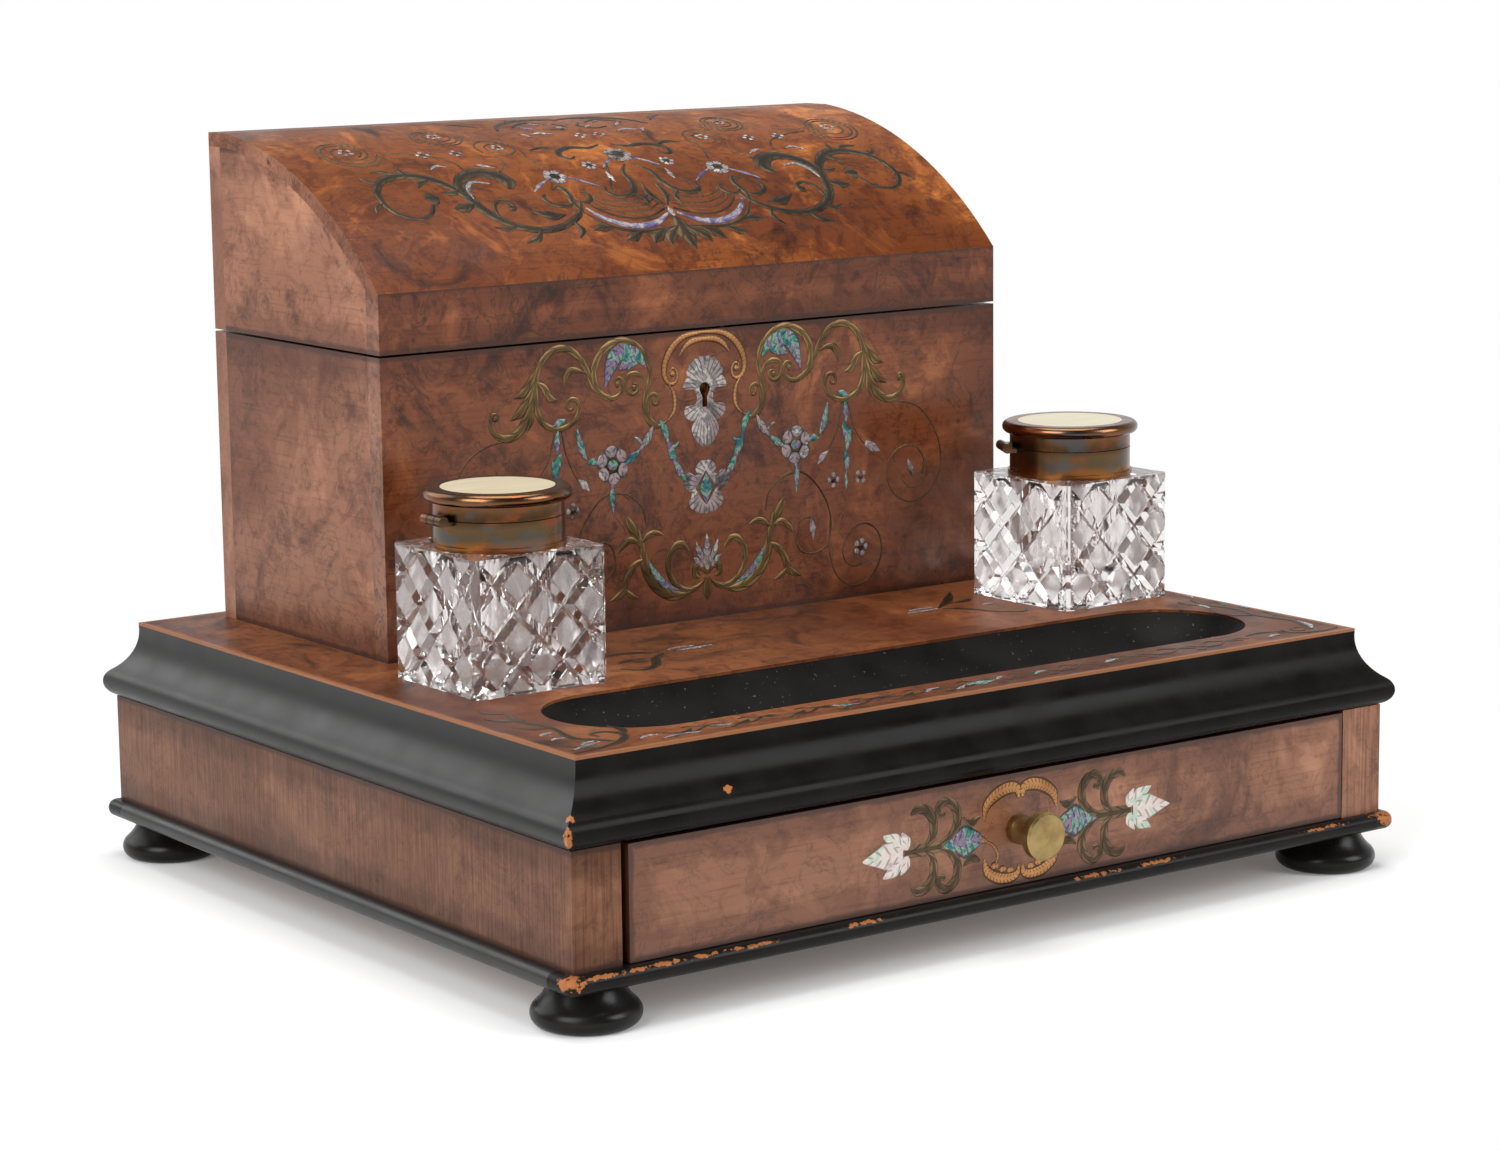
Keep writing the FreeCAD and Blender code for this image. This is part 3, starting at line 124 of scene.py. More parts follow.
# %% Flows and nodes
class Flow:
    """One output in a network. The signs + - * / on flows each add a Math node, and math() does the other sums."""

    def __init__(self, tree, socket):
        self.tree, self.socket = tree, socket

    def math(self, how, second=0.0):
        return put(self.tree, "Math", {0: self, 1: second}, operation=how)

    def __add__(self, second):
        return self.math("ADD", second)

    def __sub__(self, second):
        return self.math("SUBTRACT", second)

    def __mul__(self, second):
        return self.math("MULTIPLY", second)

    def __truediv__(self, second):
        return self.math("DIVIDE", second)

    def beside(self, output):
        """Another output of the same node."""
        return Flow(self.tree, self.socket.node.outputs[output])


def feed(tree, node, feeds):
    """Sets sockets of a node by name or number: a flow is linked, and anything else is the socket's own value."""
    for key, value in feeds.items():
        if isinstance(value, Flow):
            tree.links.new(value.socket, node.inputs[key])
        else:
            node.inputs[key].default_value = value


def put(tree, kind, feeds, output=0, **settings):
    """Adds one shader node and returns one of its outputs as a flow."""
    node = tree.nodes.new("ShaderNode" + kind)
    for key, value in settings.items():
        setattr(node, key, value)
    feed(tree, node, feeds)
    return Flow(tree, node.outputs[output])


def vector(how, first, *others, output=0):
    """One sum on three numbers at once, such as SUBTRACT or LENGTH."""
    return put(first.tree, "VectorMath", dict(enumerate((first, *others))), output, operation=how)


print("flows ready")


# %% Helpers for colours
def lay_over(under, amount, over, how="MIX"):
    """Lays one colour over another by an amount from 0 to 1."""
    over = over if isinstance(over, Flow) else (*over, 1.0)
    return put(under.tree, "Mix", {0: amount, 6: under, 7: over}, 2, data_type="RGBA", blend_type=how)


def shades(value, *stops):
    """Turns a value into a colour between the stops, each a place from 0 to 1 and a colour."""
    ramp = put(value.tree, "ValToRGB", {0: value})
    bar = ramp.socket.node.color_ramp.elements
    while len(bar) < len(stops):
        bar.new(0.5)
    for element, (place, colour) in zip(bar, stops):
        element.position = place
        element.color = (*colour, 1.0)
    return ramp


def between(value, low, high):
    """0 at low, 1 at high, with an easy curve between them."""
    return put(value.tree, "MapRange", {0: value, 1: low, 2: high}, interpolation_type="SMOOTHSTEP")


def spread(value, low, high, start=0.3, stop=0.7):
    """Maps a value from start and stop to low and high in a straight line."""
    return put(value.tree, "MapRange", {0: value, 1: start, 2: stop, 3: low, 4: high})


print("colour helpers ready")


# %% Helpers for patterns and finishes
def shifted(place, shift):
    """The same coordinates moved along, so that a pattern shows another part of itself."""
    return put(place.tree, "Mapping", {"Vector": place, "Location": shift})


def noise(place, scale, detail=3.0, rough=0.5, stretch=(1, 1, 1), swirl=0.0):
    """A cloudy value round one half, with about scale clouds to a metre.

    detail and rough add finer clouds, stretch squeezes it more along an axis, and swirl folds it into itself."""
    mapped = put(place.tree, "Mapping", {"Vector": place, "Scale": stretch})
    feeds = {"Vector": mapped, "Scale": scale, "Detail": detail, "Roughness": rough, "Distortion": swirl}
    return put(place.tree, "TexNoise", feeds, "Fac")


def start_finish(name):
    """A new material, and the Object coordinates from which its patterns start."""
    material = bpy.data.materials.new(name)
    material.use_nodes = True
    return material, put(material.node_tree, "TexCoord", {}, "Object")


def end_finish(material, feeds, height, depth, strength):
    """Feeds the main shader of a finish, and gives it a bump of that depth in metres."""
    tree = material.node_tree
    bump = put(tree, "Bump", {"Height": height, "Distance": depth, "Strength": strength})
    feed(tree, tree.nodes["Principled BSDF"], {**feeds, "Normal": bump})
    return material


print("finish helpers ready")

# %% [markdown]
# ## Burr walnut veneer
# Burr walnut is cut from a swollen part of the tree, so it shows clouds, swirls and clusters of small dark eyes
# instead of straight grain. Each sheet here is its own piece of that cloud: the same network with its own shift,
# tones and fibre direction. The edges of a sheet are rubbed, so a thin band along them is a little darker or paler,
# and a wider band inside it is darkened as painted shade along the edges and seams.

# %% Tones and edges of a sheet
SMOKE = (0.040, 0.015, 0.008)
CLOUD_TINT, MOTTLE_TINT = (0.56, 0.47, 0.42), (0.62, 0.52, 0.46)
FIBRE_TINT, PAINTED_SHADE_TINT = (0.66, 0.56, 0.50), (0.55, 0.46, 0.42)
ALONG_WIDTH, ALONG_DEPTH, UPRIGHT = (40, 1000, 1000), (1000, 40, 1000), (1000, 1000, 30)
# A band along an edge: how wide it is and how far its inner line wanders, in metres. The widest one, with its tint
# and share, is painted shade along the edges and seams.
BOARD_END, RUBBED, PAINTED_SHADE_BAND = (0.0003, 0.0), (0.0014, 0.0020), (0.0060, 0.0120)
MARK_SHARE, RUBBED_SHARE, PAINTED_SHADE_SHARE = 0.75, 0.8, 0.7


def edge_band(place, node, axes, width, ragged):
    """1 on the sheet's rim and 0 inside: the least distance to the node's box along the given axes."""
    low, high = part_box(node)
    away = vector("ABSOLUTE", vector("SUBTRACT", place, tuple((low + high) / 2)))
    room = put(place.tree, "VectorMath", {0: tuple((high - low) / 2), 1: away}, operation="SUBTRACT")
    split = put(place.tree, "SeparateXYZ", {0: room})
    near = split.beside(axes[0])
    for axis in axes[1:]:
        near = near.math("MINIMUM", split.beside(axis))
    return between(near - noise(place, 150.0, 4.0) * ragged, width, 0.0)


def burr(clouds, dark, body, glow, **other):
    """The burr's clouds from dark through body to glow. What else a sheet's tones hold is left alone."""
    return shades(clouds, (0.33, dark), (0.45, body), (0.54, body), (0.67, glow))


print("edges ready")


# %% Walnut
def walnut(node, dark, body, glow, seed, fibres=ALONG_WIDTH, polish=0.32, figured=1.0, shine=0.30,
           rim=None, rim_axes="Z", ends=None, clouded=1.0, streaks=(0.48, 0.80)):
    """Burr walnut on one sheet.

    Folded noise gives the clouds; finer folded noise draws wandering dark lines; cells gathered in clusters are the
    eyes; stretched noise is the fibre. The rim may be rubbed, with painted shade darkening a wider band along it,
    and the two ends of the board, left and right, may have the tones of the sheet beside them."""
    material, place = start_finish(node + "_walnut")
    moved = shifted(place, (0.37 * seed, -0.61 * seed, 0.23 * seed))
    clouds = noise(moved, 21.0, 8.0, 0.66, swirl=1.5)
    colour = burr(clouds, dark, body, glow)
    if ends:
        colour = lay_over(colour, edge_band(place, node, "X", *BOARD_END), burr(clouds, **ends))
    broad = between(noise(moved, 7.0, swirl=0.8), 0.56, 0.36)
    colour = lay_over(colour, broad * clouded, CLOUD_TINT, "MULTIPLY")
    mottle = between(noise(moved, 85.0, 5.0, 0.70, swirl=1.0), 0.52, 0.36)
    colour = lay_over(colour, mottle * figured, MOTTLE_TINT, "MULTIPLY")
    veins = between((noise(moved, 46.0, 6.0, 0.60, swirl=2.4) - 0.5).math("ABSOLUTE"), 0.026, 0.0)
    veins = veins * between(clouds, 0.66, 0.42)
    cells = put(place.tree, "TexVoronoi", {"Vector": moved, "Scale": 210.0}, "Distance")
    eyes = between(cells, 0.32, 0.10) * between(noise(moved, 30.0), 0.50, 0.64)
    for mark in (veins, eyes):
        colour = lay_over(colour, mark * (MARK_SHARE * figured), SMOKE)
    lines = noise(place, 1.0, 4.0, 0.6, fibres)
    colour = lay_over(colour, between(lines, *streaks), FIBRE_TINT, "MULTIPLY")
    if rim:
        colour = lay_over(colour, edge_band(place, node, rim_axes, *RUBBED) * RUBBED_SHARE, rim)
        # Painted shade: a wider ragged band inside the rim is darkened by multiplying it with a grey brown.
        painted_shade = edge_band(place, node, rim_axes, *PAINTED_SHADE_BAND) * PAINTED_SHADE_SHARE
        colour = lay_over(colour, painted_shade, PAINTED_SHADE_TINT, "MULTIPLY")
    rough = spread(noise(place, 38.0, 4.0), polish - 0.06, polish + 0.10)
    feeds = {"Base Color": colour, "Roughness": rough, "Specular IOR Level": shine}
    return end_finish(material, feeds, lines, 0.00010, 0.30)


print("walnut ready")

# %% Sheets of veneer
EDGE_DARK = (0.055, 0.022, 0.012)
EDGE_GOLD = (0.420, 0.185, 0.075)


def tones(dark, body, glow, **more):
    """The three tones of a sheet, with what else it does differently."""
    return dict(dark=dark, body=body, glow=glow, **more)


front_tones = tones((0.046, 0.013, 0.005), (0.180, 0.054, 0.020), (0.320, 0.108, 0.039), shine=0.36)
dome_tones = tones((0.036, 0.009, 0.003), (0.210, 0.058, 0.011), (0.500, 0.168, 0.034), shine=0.14)
platform_tones = tones((0.055, 0.017, 0.005), (0.205, 0.066, 0.020), (0.340, 0.120, 0.040), shine=0.22)
end_tones = tones((0.120, 0.046, 0.025), (0.240, 0.102, 0.058), (0.350, 0.160, 0.092), figured=0.7, shine=0.22)
cheek_tones = dict(end_tones, body=(0.285, 0.121, 0.068), glow=(0.400, 0.183, 0.105), clouded=0.6)
side_tones = tones((0.120, 0.052, 0.027), (0.180, 0.080, 0.041), (0.230, 0.106, 0.056), figured=0.5, shine=0.20)
drawer_tones = tones((0.140, 0.056, 0.029), (0.300, 0.134, 0.073), (0.410, 0.196, 0.110), figured=0.6, shine=0.44,
                     clouded=0.6)
back_tones = tones((0.060, 0.026, 0.015), (0.150, 0.064, 0.036), (0.230, 0.105, 0.060), figured=0.3)
lined = dict(fibres=UPRIGHT, clouded=0.5, streaks=(0.40, 0.64))
veneers = {
    "box_front": dict(front_tones, seed=1.0, rim=EDGE_DARK, polish=0.24, ends=end_tones),
    "lid_front_rail": dict(front_tones, seed=2.0, rim=EDGE_DARK, polish=0.26, ends=cheek_tones, clouded=0.5),
    "lid_dome": dict(dome_tones, seed=3.4, polish=0.34, ends=cheek_tones),
    "box_left_side": dict(end_tones, seed=4.0, fibres=ALONG_DEPTH, rim=EDGE_DARK),
    "box_right_side": dict(end_tones, seed=5.0, fibres=ALONG_DEPTH),
    "lid_left_cheek": dict(cheek_tones, seed=6.0, fibres=ALONG_DEPTH, rim=EDGE_DARK),
    "lid_right_cheek": dict(cheek_tones, seed=7.0, fibres=ALONG_DEPTH),
    "box_back": dict(back_tones, seed=8.0, ends=end_tones),
    "lid_back": dict(back_tones, seed=9.0, ends=cheek_tones),
    "carcase_left_side": {**side_tones, **lined, "seed": 10.0, "rim": EDGE_DARK},
    "carcase_right_side": {**drawer_tones, **lined, "seed": 11.0},
    "carcase_back": dict(back_tones, seed=12.0, fibres=UPRIGHT, ends=side_tones),
    "drawer_front": dict(drawer_tones, seed=13.0, polish=0.34, rim=EDGE_DARK, rim_axes="XZ"),
    "platform_veneer": dict(platform_tones, seed=14.0, rim=EDGE_GOLD, rim_axes="XY", polish=0.40),
}
finishes = {node: walnut(node, **sheet) for node, sheet in veneers.items()}
print("veneer sheets:", len(finishes))

# %% [markdown]
# ## Ebonised wood
# The cornice, the base moulding, the feet and the pen tray are pear or beech stained black and rubbed to a satin
# shine. Where hands and desks have rubbed it, the stain is gone and orange wood shows. That wear sits at the
# mitres and along the lower front edge, so it is placed by distance from those spots and broken up with noise.

# %% Ebonised wood and its wear
STAIN, THIN_STAIN = (0.0045, 0.0040, 0.0038), (0.0105, 0.0094, 0.0086)
BARE_WOOD = (0.340, 0.122, 0.038)
DUST = (0.16, 0.145, 0.13)
# A rubbed spot in parts of its reach: how far its rim wanders, and where it begins and is quite bare.
SPOT_WANDER, SPOT_BEGIN, SPOT_BARE = 3.0, 2.15, 1.95


def worn_spot(place, centre, reach, stretch):
    """1 at a rubbed spot and 0 outside its reach: a stretched distance, with a ragged rim from noise."""
    away = vector("SUBTRACT", place, tuple(c * MM for c in centre))
    far = vector("LENGTH", vector("MULTIPLY", away, tuple(1.0 / s for s in stretch)), output="Value")
    ragged = noise(place, 380.0, 6.0, 0.70) * (SPOT_WANDER * reach * MM)
    return between(far + ragged, SPOT_BEGIN * reach * MM, SPOT_BARE * reach * MM)


def ebonised(name, spots=(), satin=0.30, dust=0.0, shine=0.20):
    """Black stain with fine scratches, a little dust, and bare wood at the listed rubbed spots."""
    material, place = start_finish(name)
    mottle = noise(place, 55.0, 5.0)
    colour = shades(mottle, (0.30, STAIN), (0.75, THIN_STAIN))
    colour = lay_over(colour, between(noise(place, 700.0, 2.0, 0.7), 0.68, 0.76) * dust, DUST)
    for spot in spots:
        colour = lay_over(colour, worn_spot(place, *spot), BARE_WOOD)
    rough = spread(mottle, satin - 0.05, satin + 0.10)
    scratches = noise(place, 1.0, 3.0, 0.7, (60, 700, 700))
    feeds = {"Base Color": colour, "Roughness": rough, "Specular IOR Level": shine}
    return end_finish(material, feeds, scratches, 0.00006, 0.30)


front_wear = [((-173, -146, 18.5), 4.6, (1.8, 1.6, 0.9)), ((170, -147, 18), 4.6, (2.2, 1.2, 0.9))]
rubs = (-163, -150, -138, -122, -104, -62, 34, 61, 140)
front_wear += [((x, -148, 19.4), 1.6, (10.0, 1.2, 0.7)) for x in rubs]
mitre_wear = [((-173.2, -146.9, 62), 3.2, (0.7, 0.7, 2.6)), ((-170.2, -144, 70), 2.4, (0.8, 0.8, 3.0)),
              ((-166.6, -140.4, 77.5), 2.0, (0.9, 0.9, 2.6))]
chip = ((-112, -144.5, 69), 1.8, (1.2, 5.0, 1.0))
finishes.update({
    "base_moulding_front": ebonised("base_front_black", front_wear, shine=0.12),
    "base_moulding_left": ebonised("base_left_black", front_wear[:1], 0.36, shine=0.5),
    "base_moulding_right": ebonised("base_right_black", front_wear[1:2]),
    "cornice_front": ebonised("cornice_front_black", mitre_wear + [chip], 0.24, shine=0.06),
    "cornice_left": ebonised("cornice_left_black", mitre_wear, 0.34, shine=0.36),
    "pen_tray": ebonised("tray_black", satin=0.40, dust=0.9, shine=0.06),
})
plain_black = ebonised("moulding_black", satin=0.28)
print("black finishes with wear:", [n for n in finishes if slot_of[n] == "ebonised_wood"])

# %% [markdown]
# ## Plain wood, metals and the cream discs
# Inside, the boards are plain unpolished wood with straight grain. The hinges, lock and knob are dull yellow brass.
# The collars and caps of the wells are a browner metal, tarnished in level bands of orange and olive with red and
# blue-grey films over them, so the bands follow the height. The caps carry a cream disc with faint lines.

# %% Plain wood
def plain_wood(name, stretch):
    """Straight grained board: stretched noise for the year rings and finer noise for the pores."""
    material, place = start_finish(name)
    rings = noise(place, 1.0, 4.0, 0.6, stretch)
    colour = shades(rings, (0.30, (0.20, 0.105, 0.05)), (0.70, (0.36, 0.21, 0.11)))
    pores = noise(place, 1.0, 2.0, 0.6, tuple(s * 6 for s in stretch))
    colour = lay_over(colour, between(pores, 0.58, 0.72), (0.16, 0.08, 0.04))
    feeds = {"Base Color": colour, "Roughness": spread(rings, 0.55, 0.75, 0.0, 1.0)}
    return end_finish(material, feeds, pores, 0.0002, 0.4)


board = plain_wood("plain_board", (14, 160, 160))
side_board = plain_wood("plain_side_board", (160, 14, 160))
finishes.update({node: side_board for node in ("drawer_left_side", "drawer_right_side")})
print("plain wood ready")

# %% Metals
BAND_LOW, BAND_HIGH, BAND_WANDER = 131.0, 150.5, 4.0
BAND_SHARE, FILM_SHARE = 0.62, 0.65
RED_FILM, BLUE_FILM = (0.300, 0.078, 0.030), (0.080, 0.100, 0.112)


def metal(name, bright, dark, rough_low, rough_high, bands=()):
    """A worn metal: two tones by noise, and optional bands of tarnish by height with films of colour on them."""
    material, place = start_finish(name)
    patches = noise(place, 120.0, 6.0, 0.65)
    colour = shades(patches, (0.32, dark), (0.68, bright))
    if bands:
        wander = (noise(place, 60.0, 4.0) - 0.5) * (BAND_WANDER * MM)
        height = put(place.tree, "SeparateXYZ", {0: place}, "Z") + wander
        share = spread(height, 0.0, 1.0, BAND_LOW * MM, BAND_HIGH * MM)
        colour = lay_over(colour, BAND_SHARE, shades(share, *bands))
        for film, shift in ((RED_FILM, 0.0), (BLUE_FILM, 0.7)):
            patch = noise(shifted(place, (shift, shift, shift)), 48.0, 4.0, 0.6, (1.0, 1.0, 2.0))
            colour = lay_over(colour, between(patch, 0.50, 0.64) * FILM_SHARE, film)
    feeds = {"Base Color": colour, "Roughness": spread(patches, rough_low, rough_high), "Metallic": 1.0}
    return end_finish(material, feeds, noise(place, 1500.0, 2.0), 0.00003, 0.3)


dull_brass = metal("dull_brass", (0.44, 0.315, 0.130), (0.230, 0.160, 0.066), 0.28, 0.48)
tarnish = [
    (0.00, (0.420, 0.160, 0.034)), (0.12, (0.320, 0.130, 0.034)), (0.24, (0.105, 0.095, 0.060)),
    (0.42, (0.150, 0.098, 0.048)), (0.56, (0.045, 0.028, 0.016)), (0.66, (0.110, 0.058, 0.026)),
    (0.80, (0.240, 0.112, 0.052)), (1.00, (0.200, 0.096, 0.046)),
]
bronze = metal("bronzed_brass", (0.170, 0.080, 0.034), (0.060, 0.032, 0.015), 0.17, 0.30, tarnish)
print("metals ready")


# %% Cream discs
def cream(name):
    """Cream disc: pale yellow with slightly deeper fine lines and a soft shine."""
    material, place = start_finish(name)
    lines = noise(place, 1.0, 3.0, 0.5, (35, 420, 60))
    colour = shades(lines, (0.30, (0.55, 0.485, 0.320)), (0.65, (0.64, 0.575, 0.415)))
    feeds = {"Base Color": colour, "Roughness": spread(lines, 0.26, 0.36, 0.0, 1.0)}
    return end_finish(material, feeds, lines, 0.00003, 0.2)


cream_disc = cream("cream_disc")
print("cream ready")

# %% Glass
SCORE_PITCH = 0.9
GLASS_TINT = (0.950, 0.915, 0.905, 1.0)
GLASS_BEND = 1.52


def clear_glass(name):
    """Old clear glass. Where a point is marked as scored, fine crossing lines from the wheel make it half matt."""
    material, place = start_finish(name)
    split = put(place.tree, "SeparateXYZ", {0: place})
    across = split.beside("X") + split.beside("Y")
    slants = (across + split.beside("Z"), across - split.beside("Z"))
    first, second = ((slant / (SCORE_PITCH * MM)).math("PINGPONG", 0.5) for slant in slants)
    cut = between(first.math("MAXIMUM", second), 0.20, 0.45)
    cut = put(place.tree, "Attribute", {}, "Fac", attribute_name="scored") * (cut * 0.4 + 0.6)
    feeds = {"Base Color": GLASS_TINT, "IOR": GLASS_BEND, "Roughness": spread(cut, 0.012, 0.26, 0.0, 1.0)}
    feeds["Transmission Weight"] = spread(cut, 0.98, 0.78, 0.0, 1.0)
    return end_finish(material, feeds, noise(place, 90.0, 2.0), 0.00004, 0.3)


glass = clear_glass("cut_glass")
print("glass ready")

# %% [markdown]
# ## Dressing the solids
# Every solid takes the finish of its own piece where one was made, and otherwise the finish of its slot.

# %% Put the finishes on
by_slot = {
    "walnut_veneer": board, "ebonised_wood": plain_black, "plain_wood": board, "dull_brass": dull_brass,
    "bronzed_brass": bronze, "cut_glass": glass, "cream_disc": cream_disc, "pearl_shell": cream_disc,
}
for name, solid in nodes.items():
    solid.data.materials.clear()
    solid.data.materials.append(finishes.get(name, by_slot[slot_of[name]]))
print("dressed:", len(nodes))

# %% [markdown]
# ## The cut glass
# Each well is a square block of glass, cut all round with crossing V grooves at 45 degrees. They leave a net of
# flat diamonds, and the wheel has scored each flat with much finer crossing lines. The lines are far too fine to
# model, so each point on a flat is only marked, and the finish makes marked glass half matt.
# It could be carved with booleans, but a face is only a depth that depends on two numbers, across and down.
# On a grid whose cells also have a middle point, every groove runs along cell diagonals, so the facets stay sharp.

# %% Depth of the cutting
WELL_SIDE = 51.5
WELL_HEIGHT = 45.7
WELL_BEVEL = 2.1
CELLS_ACROSS = 62
CELLS_DOWN = 60
NET = 24
FLAT = 8
GROOVE_DEPTH = 1.8
RUN_OUT = 0.34
BASE_GAP = 0.1


def cut_depth(across, down):
    """How deep the glass is cut, in mm, at a grid point counted in cells, and whether it lies on a scored flat.

    The sum and the difference of across and down run along the two diagonals. A groove is a V that is deepest where
    one of them is half way between two diamonds, and it leaves a flat diamond where both are near a middle.
    Towards the edges of the face the cut runs out, so the edges stay straight."""
    off = np.maximum(*(NET / 2 - np.abs(np.mod(d, NET) - NET / 2) for d in (across + down, across - down)))
    deep = np.clip((off - FLAT) / (NET / 2 - FLAT), 0.0, 1.0) * GROOVE_DEPTH
    edge = np.minimum(CELLS_ACROSS / 2 - np.abs(across), np.minimum(down, CELLS_DOWN - down))
    scored = (off < FLAT - 0.5) & (edge > 1)
    return np.minimum(deep, edge * RUN_OUT), scored.astype(float)


def cut_face():
    """One cut face as points (across, inward, up) and triangles: a grid of corners, and a middle in every cell."""
    width = WELL_SIDE - 2 * WELL_BEVEL
    rows, columns = np.mgrid[0:CELLS_DOWN + 1, 0:CELLS_ACROSS + 1].astype(float)
    mid_rows, mid_columns = np.mgrid[0:CELLS_DOWN, 0:CELLS_ACROSS] + 0.5
    down = np.concatenate([rows.ravel(), mid_rows.ravel()])
    across = np.concatenate([columns.ravel(), mid_columns.ravel()]) - CELLS_ACROSS / 2
    inward, scored = cut_depth(across, down)
    up = BASE_GAP + (WELL_HEIGHT - BASE_GAP) * (1 - down / CELLS_DOWN)
    points = np.stack([across * width / CELLS_ACROSS, inward, up], -1)
    corner = (np.arange(CELLS_DOWN)[:, None] * (CELLS_ACROSS + 1) + np.arange(CELLS_ACROSS)).ravel()
    middle_of = rows.size + np.arange(corner.size)
    ring = [corner, corner + CELLS_ACROSS + 1, corner + CELLS_ACROSS + 2, corner + 1, corner]
    triangles = [np.stack([first, second, middle_of], -1) for first, second in zip(ring[:-1], ring[1:])]
    return points, np.concatenate(triangles), scored


face_points, face_triangles, face_scored = cut_face()
print("cut face:", len(face_points), "points,", len(face_triangles), "facets")

# %% Neck, bore and foot
NECK_RADIUS = 19.4
NECK_TOP = WELL_HEIGHT + 9.0
BORE_RADIUS = 16.5
BORE_FLOOR = 10.0
BASE_HOLLOW = 0.6
NECK_AND_BORE = [
    (NECK_RADIUS, WELL_HEIGHT), (NECK_RADIUS, NECK_TOP), (BORE_RADIUS, NECK_TOP), (BORE_RADIUS, BORE_FLOOR + 3.0),
    (BORE_RADIUS - 1.0, BORE_FLOOR + 1.0), (BORE_RADIUS - 4.0, BORE_FLOOR),
]
FOOT_STEPS = [(0.86, BASE_GAP), (0.80, BASE_HOLLOW)]


def lofted(first_loop, start, rings, pole):
    """Closes a loop by rings of points and a last pole: quads between loops, and a fan of triangles to the pole."""
    quads = []
    below = first_loop
    for k in range(len(rings)):
        above = start + k * len(first_loop) + np.arange(len(first_loop))
        quads.append(np.stack([below, np.roll(below, -1), np.roll(above, -1), above], -1))
        below = above
    last = start + len(rings) * len(first_loop)
    fan = np.stack([below, np.roll(below, -1), np.full(len(below), last)], -1)
    return np.concatenate([*rings, [pole]]), quads, fan


print("loops of the neck and bore:", len(NECK_AND_BORE), "and of the foot:", len(FOOT_STEPS))


# %% The whole bottle
def bottle_mesh(centre, turn):
    """Four cut faces set round the square and joined by bevel strips, with the neck and the bore lofted from their
    top edge on circles, and the hollow foot from their lower edge on smaller squares."""
    points, quads, grids = [], [], []
    for side in range(4):
        angle = side * math.pi / 2
        out = np.array([math.sin(angle), -math.cos(angle)])
        along = np.array([math.cos(angle), math.sin(angle)])
        flat = face_points[:, :1] * along + (WELL_SIDE / 2 - face_points[:, 1:2]) * out
        points.append(np.column_stack([flat, face_points[:, 2]]))
        grid = np.arange((CELLS_DOWN + 1) * (CELLS_ACROSS + 1)).reshape(CELLS_DOWN + 1, -1)
        grids.append(side * len(face_points) + grid)
    for last, first in zip(grids, grids[1:] + grids[:1]):
        last, first = last[:, -1], first[:, 0]
        quads.append(np.stack([last[:-1], last[1:], first[1:], first[:-1]], -1))
    top = np.concatenate([grid[0] for grid in grids])
    base = np.concatenate([grid[-1] for grid in grids])[::-1]
    outline = np.concatenate(points)
    turns = np.arctan2(outline[top, 1], outline[top, 0])
    circle = np.column_stack([np.cos(turns), np.sin(turns)])
    rings = [np.column_stack([radius * circle, np.full(len(top), up)]) for radius, up in NECK_AND_BORE]
    neck, neck_quads, bore_fan = lofted(top, len(outline), rings, (0.0, 0.0, BORE_FLOOR))
    rings = [np.column_stack([share * outline[base, :2], np.full(len(base), up)]) for share, up in FOOT_STEPS]
    foot, foot_quads, foot_fan = lofted(base, len(outline) + len(neck), rings, (0.0, 0.0, BASE_HOLLOW))
    cosine, sine = math.cos(turn), math.sin(turn)
    rotation = np.array([[cosine, sine, 0], [-sine, cosine, 0], [0, 0, 1]])
    everything = np.concatenate([outline, neck, foot]) @ rotation + centre
    faces = [face_triangles + side * len(face_points) for side in range(4)]
    triangles = np.concatenate(faces + [bore_fan, foot_fan])
    return everything * MM, triangles, np.concatenate(quads + neck_quads + foot_quads)


print("points in a bottle:", len(bottle_mesh(np.zeros(3), 0.0)[0]))


# %% The two bottles
def new_piece(name, points, faces, material, body):
    """A mesh object at the origin from arrays of points and faces, with its finish and body."""
    mesh = bpy.data.meshes.new(name)
    mesh.from_pydata(points.tolist(), [], [face for group in faces for face in group.tolist()])
    mesh.materials.append(material)
    mesh.update()
    piece = new_object(name, mesh)
    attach(piece, body)
    return piece


for side, turn in (("left", 0.0), ("right", math.radians(2.5))):
    low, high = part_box(f"inkwell_{side}_bottle")
    centre = np.array([(low.x + high.x) / 2, (low.y + high.y) / 2, low.z]) / MM
    points, *faces = bottle_mesh(centre, turn)
    bottle = new_piece(f"inkwell_{side}_cut_bottle", points, faces, glass, f"inkwell_{side}")
    marks = np.zeros(len(points), np.float32)
    marks[:4 * len(face_scored)] = np.tile(face_scored, 4)
    bottle.data.attributes.new("scored", "FLOAT", "POINT").data.foreach_set("value", marks)
    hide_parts(f"inkwell_{side}_bottle")
    print(bottle.name, "facets:", sum(len(group) for group in faces))

# %% [markdown]
# ## Finishes of the inlay
# The ornament is cut from thin sheet brass, bronze and a redder copper, dark wire, and white, violet and green-blue
# shell, let into the veneer and engraved with dark lines. Every cut piece is a ribbon, and its own UV runs along it
# and across it, so the engraver's border and veins can follow the ribbon wherever it curls.

# %% Engraving
INK, SHELL_INK = (0.025, 0.016, 0.010), (0.018, 0.016, 0.015)
INKED = 0.85
BORDER_EASE, VEIN_SLANT, VEIN_SHARE = 0.12, 0.9, 0.8
SHELL_SHINE, SHELL_COAT = 0.22, 0.10


def across_and_along(tree):
    """The ribbon's own UV: how far from its middle line, 0 to 1, and how far along, in centimetres."""
    uv = put(tree, "SeparateXYZ", {0: put(tree, "TexCoord", {}, "UV")})
    return (uv.beside("Y") - 0.5).math("ABSOLUTE") * 2.0, uv.beside("X")


